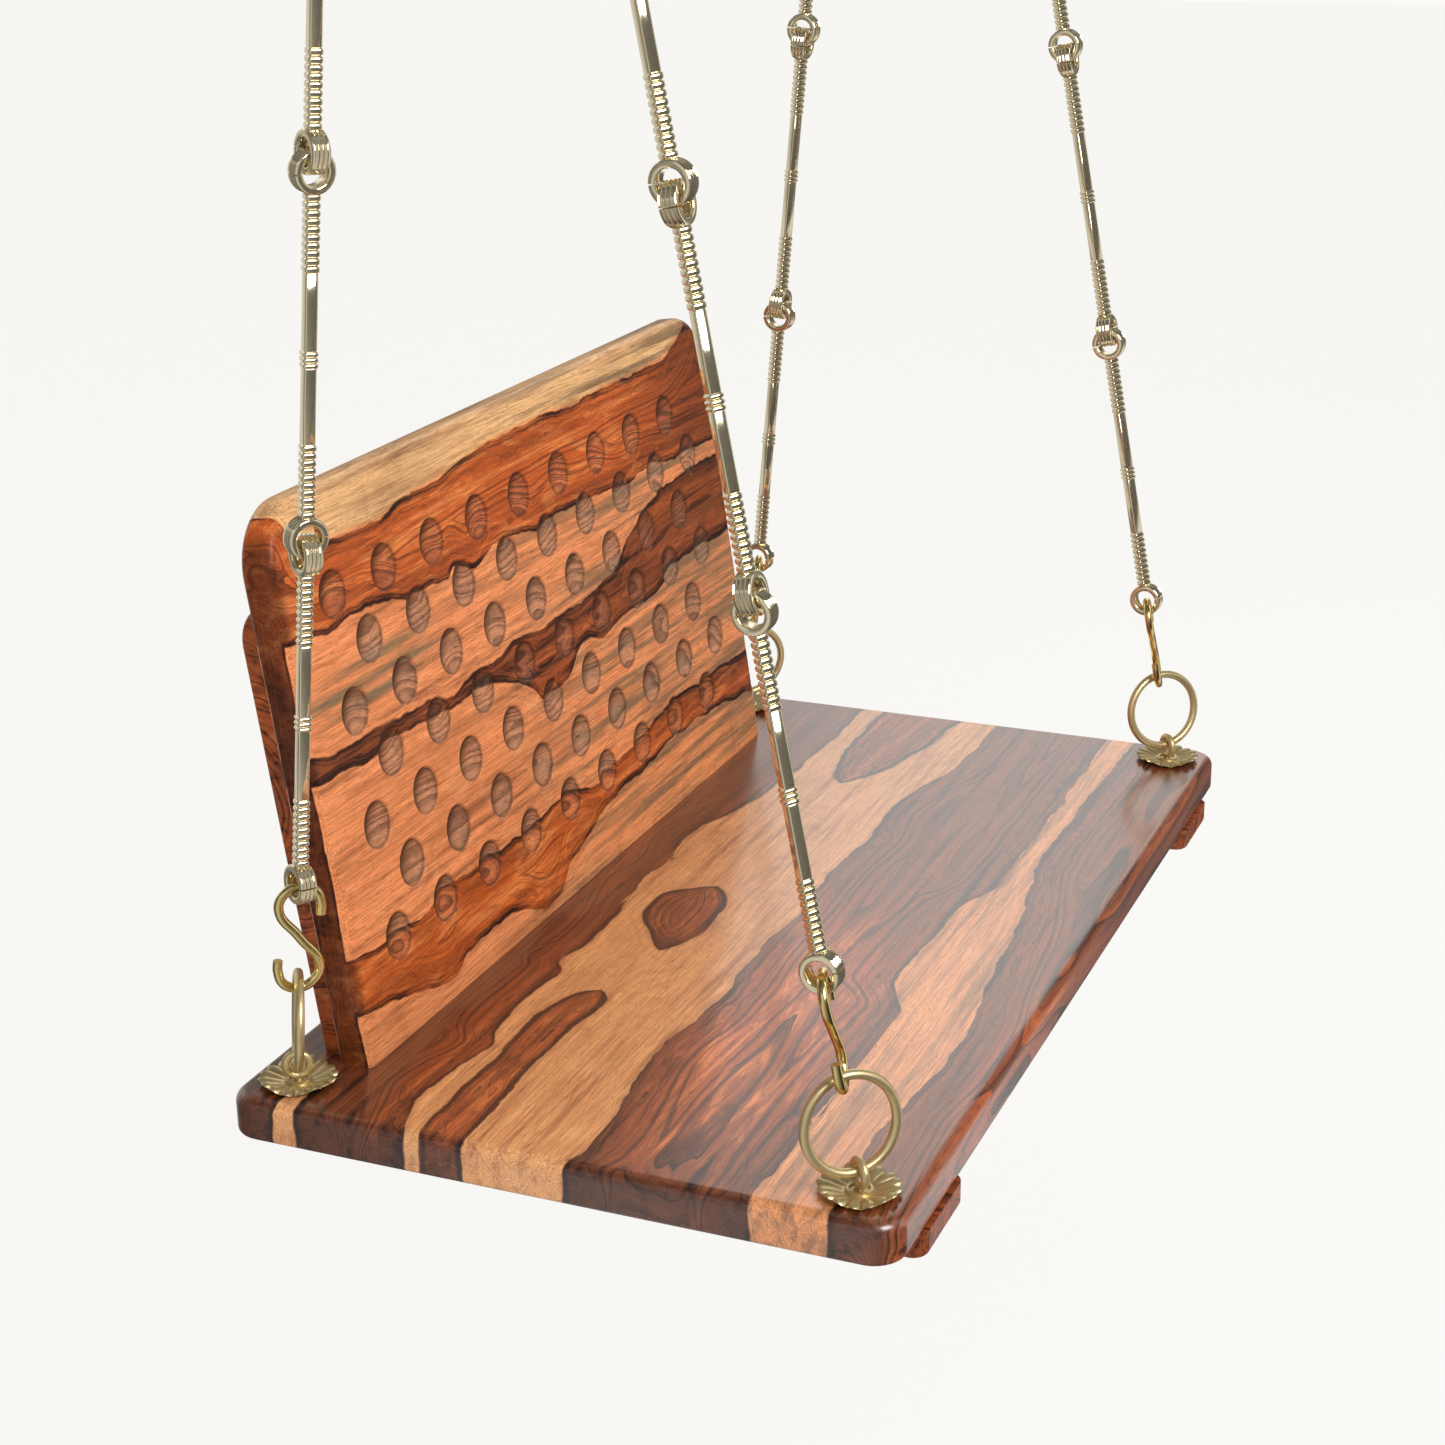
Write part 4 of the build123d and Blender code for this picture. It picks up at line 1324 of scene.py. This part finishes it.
class SWING_OT_rings(bpy.types.Operator):
    """Model the rings over the eye bolts and the rings in the ceiling hooks"""

    bl_idname = "swing.rings"
    bl_label = "Rings"

    def execute(self, context):
        s = sizes()
        finish = metal("drawn_brass")
        master = ring_master(s.ring_width, s.wire)
        seam = Matrix.Rotation(math.radians(70), 4, "Z")
        for name, (place, _) in chain_places().items():
            stand = place @ upright(s.ring_width / 2, RING_TURN[name]) @ seam
            piece = copy_of(master, "brass_ring_" + name, stand)
            settle(piece, "seat_ring_" + name, chain_body(name), finish, 60)
        centre = SWING_LINE + s.staple_wire / 2 + s.play + s.wire / 2 - s.ring_width / 2
        for name, side in SIDES.items():
            piece = copy_of(master, "ceiling_ring_" + name, axes((side * CHAIN_X, 0, centre), (0, 1, 0), (1, 0, 0)))
            settle(piece, "top_ring_" + name, "top_rings", finish, 60)
        drop(master)
        return {"FINISHED"}


class SWING_OT_hooks(bpy.types.Operator):
    """Bend the S hooks between the rings and the links"""

    bl_idname = "swing.hooks"
    bl_label = "S Hooks"

    def execute(self, context):
        s = sizes()
        low_start, *_, high_start = chain_heights()
        for name, (place, reach) in chain_places().items():
            last = LINK_TURN[name] + 90 * LINK_COUNT
            top = reach + s.wire + s.play - high_start
            jobs = [
                ("lower_hook_", low_start, s.hook_height, HOOK_TURN[name], HOOK_TURN[name]),
                ("upper_hook_", high_start, top, last, 180),
            ]
            for label, start, tall, low_turn, high_turn in jobs:
                piece = self.s_hook(place, start, tall, low_turn, high_turn)
                piece.name = "brass_" + label + name
                settle(piece, label + name, chain_body(name), metal("yellow_brass"), 50)
        return {"FINISHED"}

    def s_hook(self, place, start, tall, low_turn, high_turn):
        """Bends one S hook about a chain's line."""
        s = sizes()
        radius = s.hook_loop / 2
        low, high = start + radius, start + tall - radius
        free_end = 8 * MM

        def spot(reach, turn, rise):
            turn = math.radians(turn)
            return place @ Vector((reach * math.cos(turn), reach * math.sin(turn), rise))

        bends = [math.pi * step / 4 for step in range(5)]
        points = [spot(-radius, low_turn, low + free_end)]
        points += [spot(-radius * math.cos(bend), low_turn, low - radius * math.sin(bend)) for bend in bends]
        points += [spot(0, low_turn, (low + high) / 2)]
        points += [spot(-radius * math.cos(bend), high_turn, high + radius * math.sin(bend)) for bend in bends]
        points += [spot(radius, high_turn, high - free_end)]
        return wire_piece("hook", points, s.wire)


class SWING_OT_eye_bolts(bpy.types.Operator):
    """Model the eye bolts with their nuts and washers"""

    bl_idname = "swing.eye_bolts"
    bl_label = "Eye Bolts"

    def execute(self, context):
        s = sizes()
        washers, nuts = [], []
        under = -s.seat_thickness
        washer_foot = under - s.washer_thickness
        for name, spot in corner_spots().items():
            place = Matrix.Translation(spot)
            loop = ring_master(s.loop_width, s.loop_wire)
            turn = math.radians(RING_TURN[name] + 90)
            loop.data.transform(axes((0, 0, s.loop_rise), (0, 0, -1), (-math.sin(turn), math.cos(turn), 0)))
            bolt = join([loop, self.threaded_shank()], "brass_eye_bolt_" + name)
            bolt.data.transform(place)
            settle(bolt, "eye_bolt_" + name, "seat", metal("drawn_brass"), 50)
            washers.append(self.disc(place, s.washer_radius, washer_foot, under, 40))
            nuts.append(self.disc(place, s.nut_radius, washer_foot - s.nut_height, washer_foot, 6))
        for label, pieces in (("washer", washers), ("nut", nuts)):
            piece = join(pieces, label + "_set")
            settle(piece, label + "s", "seat", metal("plated_steel"), 30)
        return {"FINISHED"}

    def threaded_shank(self):
        """Models the shank below the loop, with its thread at the foot."""
        top, plain, pitch = 5.5 * MM, -30 * MM, 1.0 * MM
        radius, root, crest, tip = (size * MM for size in (2.9, 2.45, 2.95, 2.2))
        foot = -sizes().seat_thickness - 9.6 * MM
        stations = [(plain, radius)]
        height = plain
        while height > foot + 1.2 * MM:
            stations += [(height - pitch / 2, root), (height - pitch, crest)]
            height -= pitch
        stations += [(foot, tip)]
        clear_selection()
        bpy.ops.mesh.primitive_circle_add(vertices=24, radius=radius, fill_type="NGON", location=(0, 0, top))
        shank = added("shank")
        with editing(shank):
            pick_all()
            sweep(stations, top, radius)
        outward(shank)
        return shank

    def disc(self, place, radius, low, high, sides):
        """Models a washer or a nut with its hole and softened edges."""
        hole = 3.1 * MM
        piece = cylinder("disc", radius, low, high, sides)
        outer_rim = lambda edge: (
            edge.calc_face_angle(0) > 1.2
            and min(vert.co.xy.length for vert in edge.verts) > hole + 0.5 * MM
            and span(edge, Z) < TOUCH
        )
        with editing(piece):
            pick(piece, "FACE", lambda face: abs(face.normal.z) > 0.9)
            bpy.ops.mesh.inset(thickness=radius - hole, use_individual=True)
            bpy.ops.mesh.bridge_edge_loops()
            round_edges(piece, outer_rim, 0.35 * MM, 2)
        piece.data.transform(place)
        outward(piece)
        return piece


class SWING_OT_rosettes(bpy.types.Operator):
    """Press the flower rosettes that sit under the eye bolts"""

    bl_idname = "swing.rosettes"
    bl_label = "Rosettes"

    def execute(self, context):
        flower = self.flower()
        copies = [copy_of(flower, "rosette", Matrix.Translation(spot)) for spot in corner_spots().values()]
        drop(flower)
        settle(join(copies, "rosette_set"), "rosettes", "seat", metal("pressed_brass"), 60)
        return {"FINISHED"}

    def flower(self):
        """Models one rosette: a domed collar and striped petals with a wavy rim, of thin sheet."""
        s = sizes()
        hole, level = 3.2 * MM, 1.3 * MM
        clear_selection()
        bpy.ops.mesh.primitive_circle_add(
            vertices=s.petals * 10, radius=hole, fill_type="NOTHING", location=(0, 0, level)
        )
        flower = added("flower")
        with editing(flower):
            pick_all()
            sweep([(height * MM, radius * MM) for radius, height in ROSETTE_SHAPE], level, hole)
        crease_shade = []
        for vert in flower.data.vertices:
            reach = vert.co.xy.length / MM
            turn = math.atan2(vert.co.y, vert.co.x)
            out = limited((reach - 10) / 16)
            phase = (turn * s.petals / (2 * math.pi)) % 1.0
            petal = math.sin(math.pi * phase) ** 0.7
            stripe = 0.5 + 0.5 * math.cos(10 * math.pi * (phase - 0.5))
            notch = 1 - 0.12 * out**3 * (1 - petal)
            vert.co.x *= notch
            vert.co.y *= notch
            wave = 0.9 * math.sin(3 * turn + 0.6) + 0.6 * math.sin(5 * turn)
            vert.co.z += (out * (2.9 * (petal - 0.72) + 0.4 * stripe - 0.2) + out**3 * wave) * MM
            # Painted shade in the creases between petals and stripes, and round the foot of the collar.
            collar_foot = 0.5 if 9.6 < reach < 10.8 else 0.0
            crease_shade.append(min(1.0, out * (0.9 * (1 - petal) ** 1.3 + 0.4 * (1 - stripe)) + collar_foot))
        layer = flower.data.attributes.new("groove", "FLOAT", "POINT")
        layer.data.foreach_set("value", crease_shade)
        outward(flower)
        take(flower)
        sheet = flower.modifiers.new("sheet", "SOLIDIFY")
        sheet.thickness = 0.8 * MM
        sheet.offset = -1
        bpy.ops.object.modifier_apply(modifier=sheet.name)
        return flower


class SWING_OT_ceiling_hooks(bpy.types.Operator):
    """Model the ceiling plates and their staples"""

    bl_idname = "swing.ceiling_hooks"
    bl_label = "Ceiling Hooks"

    def execute(self, context):
        s = sizes()
        thick = s.plate_thickness
        corner, low_round, drill_reach, leg_top = 8 * MM, 1.2 * MM, 10 * MM, -3 * MM
        leg, bend = s.staple_reach, s.staple_bend
        half = [(-leg, 0, leg_top), (-leg, 0, SWING_LINE + bend)]
        half += [
            (-leg + bend * (1 - math.cos(angle)), 0, SWING_LINE + bend * (1 - math.sin(angle)))
            for angle in (0.4, 0.8, 1.2)
        ]
        half += [(-leg + bend, 0, SWING_LINE)]
        points = half + [(-x, y, z) for x, y, z in reversed(half)]
        for name, side in SIDES.items():
            plate = block("plate", (s.plate_width, s.plate_length, thick), (0, 0, -thick / 2))
            with editing(plate):
                round_edges(plate, lambda edge: span(edge, Z) > thick / 2, corner, 1)
                round_edges(plate, lambda edge: highest(edge, Z) < CLEAR - thick, low_round, 3)
            for end in (-1, 1):
                drill = cylinder("drill", s.plate_bore / 2, -drill_reach, drill_reach, 32, end * s.plate_screw)
                carve(plate, drill)
            staple = wire_piece("staple", points, s.staple_wire)
            hook = join([plate, staple], "ceiling_fitting_" + name)
            hook.data.transform(Matrix.Translation((side * CHAIN_X, 0, 0)))
            settle(hook, "ceiling_hook_" + name, "ceiling", metal("drawn_brass"), 40)
        return {"FINISHED"}


class SWING_OT_stage(bpy.types.Operator):
    """Set up the pale floor, the soft studio light and the camera"""

    bl_idname = "swing.stage"
    bl_label = "Stage"

    def execute(self, context):
        scene = context.scene
        scene.view_settings.view_transform = "Standard"
        tone = self.studio_tone()
        self.floor(tone)
        self.world(scene, tone)
        self.lamps()
        self.camera(scene)
        return {"FINISHED"}

    def studio_tone(self):
        """Bright and dark sides of the studio round the swing, as polished faces mirror them."""
        tree, given = new_group("studio_tone", {"Vector": None})
        x, y, z = tree.split(given["Vector"])
        turn = tree.math("ARCTAN2", y, x) * (0.5 / math.pi) + 0.5
        side = tree.curve(turn, [(angle / 360 + 0.5, bright / 2) for angle, bright in STUDIO_SIDES])
        rise = z / tree.value("ShaderNodeVectorMath", {0: given["Vector"]}, "Value", operation="LENGTH")
        height = tree.ramp(rise, 0.51, 0.61, 2.0, 0.5) * tree.ramp(rise, 0.34, 0.44, 0.85, 1.35)
        return tree.give(Tone=side * height)

    def rays(self, tree, *labels):
        """Gives whether a ray is of these kinds."""
        path = tree.node("ShaderNodeLightPath").outputs
        return [Value(tree, path[f"Is {label} Ray"]) for label in labels]

    def floor(self, tone):
        """Lays the pale floor below the seat, clear from below and dim near the swing in polished faces."""
        clear_selection()
        bpy.ops.mesh.primitive_plane_add(size=30, location=(0, 0, SEAT_TOP - FLOOR_DROP))
        floor = added("floor")
        material, tree, shader = surface("pale_floor")
        for label, value in (("Base Color", FLOOR_SHADE), ("Roughness", 0.9), ("Specular IOR Level", 0.0)):
            tree.put(shader.inputs[label], value)
        camera_ray, glossy_ray = self.rays(tree, "Camera", "Glossy")
        spot = tree.value("ShaderNodeTexCoord", output="Object")
        sides = tree.value("ShaderNodeGroup", {"Vector": spot}, node_tree=tone)
        away = tree.value("ShaderNodeVectorMath", {0: spot}, "Value", operation="LENGTH")
        mirrored = sides * tree.ramp(away, 1.4, 2.4, 0.25, 1.0)
        shine = tree.ramp(glossy_ray, 0.0, 1.0, 1.0, mirrored)
        glow = tree.value("ShaderNodeEmission", {"Color": STUDIO_WHITE, "Strength": shine})
        seen = tree.most(camera_ray * 0.94, glossy_ray)
        lit = tree.value("ShaderNodeMixShader", {0: seen, 1: Value(tree, shader.outputs[0]), 2: glow})
        below = tree.value("ShaderNodeNewGeometry", output="Backfacing")
        whole = tree.value("ShaderNodeMixShader", {0: below, 1: lit, 2: tree.value("ShaderNodeBsdfTransparent")})
        tree.put(tree.tree.nodes["Material Output"].inputs[0], whole)
        floor.data.materials.append(material)

    def world(self, scene, tone):
        """Gives an off-white world that lights the swing softly."""
        world = bpy.data.worlds.new("studio")
        scene.world = world
        world.use_nodes = True
        tree = Tree(world.node_tree)
        back = world.node_tree.nodes["Background"]
        camera_ray, clear_ray, glossy_ray = self.rays(tree, "Camera", "Transmission", "Glossy")
        around = tree.value("ShaderNodeTexCoord", output="Generated")
        sides = tree.value("ShaderNodeGroup", {"Vector": around}, node_tree=tone)
        soft = tree.ramp(glossy_ray, 0.0, 1.0, 0.55, sides)
        tree.put(back.inputs["Color"], STUDIO_WHITE)
        tree.put(back.inputs["Strength"], tree.ramp(tree.most(camera_ray, clear_ray), 0.0, 1.0, soft, 1.0))

    def lamps(self):
        """Hangs the soft lamps round the swing; polished faces mirror only the key lamp."""
        middle = Vector((0, SEAT_Y, SEAT_TOP + 0.15))
        for name, spot, wide, watts in LAMPS:
            lamp = bpy.data.lights.new(name, "AREA")
            lamp.energy = watts
            lamp.size = wide
            stand = bpy.data.objects.new(name, lamp)
            bpy.context.collection.objects.link(stand)
            stand.location = middle + Vector(spot)
            stand.visible_glossy = name == "key_lamp"
            stand.rotation_euler = (middle - stand.location).to_track_quat("-Z", "Y").to_euler()

    def camera(self, scene):
        """Places the camera as the photograph's."""
        heading, pitch, roll = (math.radians(angle) for angle in CAMERA_ANGLES)
        ahead = Vector((math.cos(heading) * math.cos(pitch), math.sin(heading) * math.cos(pitch), -math.sin(pitch)))
        right = Vector((math.sin(heading), -math.cos(heading), 0))
        up = right.cross(ahead)
        side = right * math.cos(roll) + up * math.sin(roll)
        top = up * math.cos(roll) - right * math.sin(roll)
        lens = bpy.data.cameras.new("camera")
        lens.sensor_width = SENSOR_WIDTH
        lens.lens = FOCAL_SHARE * SENSOR_WIDTH
        lens.clip_end = 60
        camera = bpy.data.objects.new("camera", lens)
        bpy.context.collection.objects.link(camera)
        spot = Vector((0, SEAT_Y, SEAT_TOP)) + Vector(CAMERA_SPOT)
        camera.matrix_world = Matrix.Translation(spot) @ Matrix((side, top, -ahead)).transposed().to_4x4()
        scene.camera = camera


class SWING_PT_panel(bpy.types.Panel):
    """Lists the swing's sizes, colours and pieces."""

    bl_idname = "SWING_PT_panel"
    bl_label = "Porch Swing"
    bl_space_type = "VIEW_3D"
    bl_region_type = "UI"
    bl_category = "Porch Swing"

    def draw(self, context):
        for group in (context.scene.swing_sizes, context.scene.swing_colours):
            for name in group.bl_rna.properties.keys():
                if name not in ("rna_type", "name"):
                    self.layout.prop(group, name)
        for operator in OPERATORS:
            self.layout.operator(operator.bl_idname)


OPERATORS = (
    SWING_OT_seat_planks,
    SWING_OT_back_planks,
    SWING_OT_strips,
    SWING_OT_chain_links,
    SWING_OT_rings,
    SWING_OT_hooks,
    SWING_OT_eye_bolts,
    SWING_OT_rosettes,
    SWING_OT_ceiling_hooks,
    SWING_OT_stage,
)
CLASSES = (SwingSizes, SwingColours, *OPERATORS, SWING_PT_panel)


def register():
    """Registers the classes and their properties."""
    for item in CLASSES:
        bpy.utils.register_class(item)
    bpy.types.Scene.swing_sizes = PointerProperty(type=SwingSizes)
    bpy.types.Scene.swing_colours = PointerProperty(type=SwingColours)


def unregister():
    """Takes the classes and their properties out again."""
    del bpy.types.Scene.swing_sizes
    del bpy.types.Scene.swing_colours
    for item in reversed(CLASSES):
        bpy.utils.unregister_class(item)


def main():
    """Makes every piece."""
    register()
    bpy.ops.swing.seat_planks()
    bpy.ops.swing.back_planks()
    bpy.ops.swing.strips()
    bpy.ops.swing.chain_links()
    bpy.ops.swing.rings()
    bpy.ops.swing.hooks()
    bpy.ops.swing.eye_bolts()
    bpy.ops.swing.rosettes()
    bpy.ops.swing.ceiling_hooks()
    bpy.ops.swing.stage()


if __name__ == "__main__":
    main()
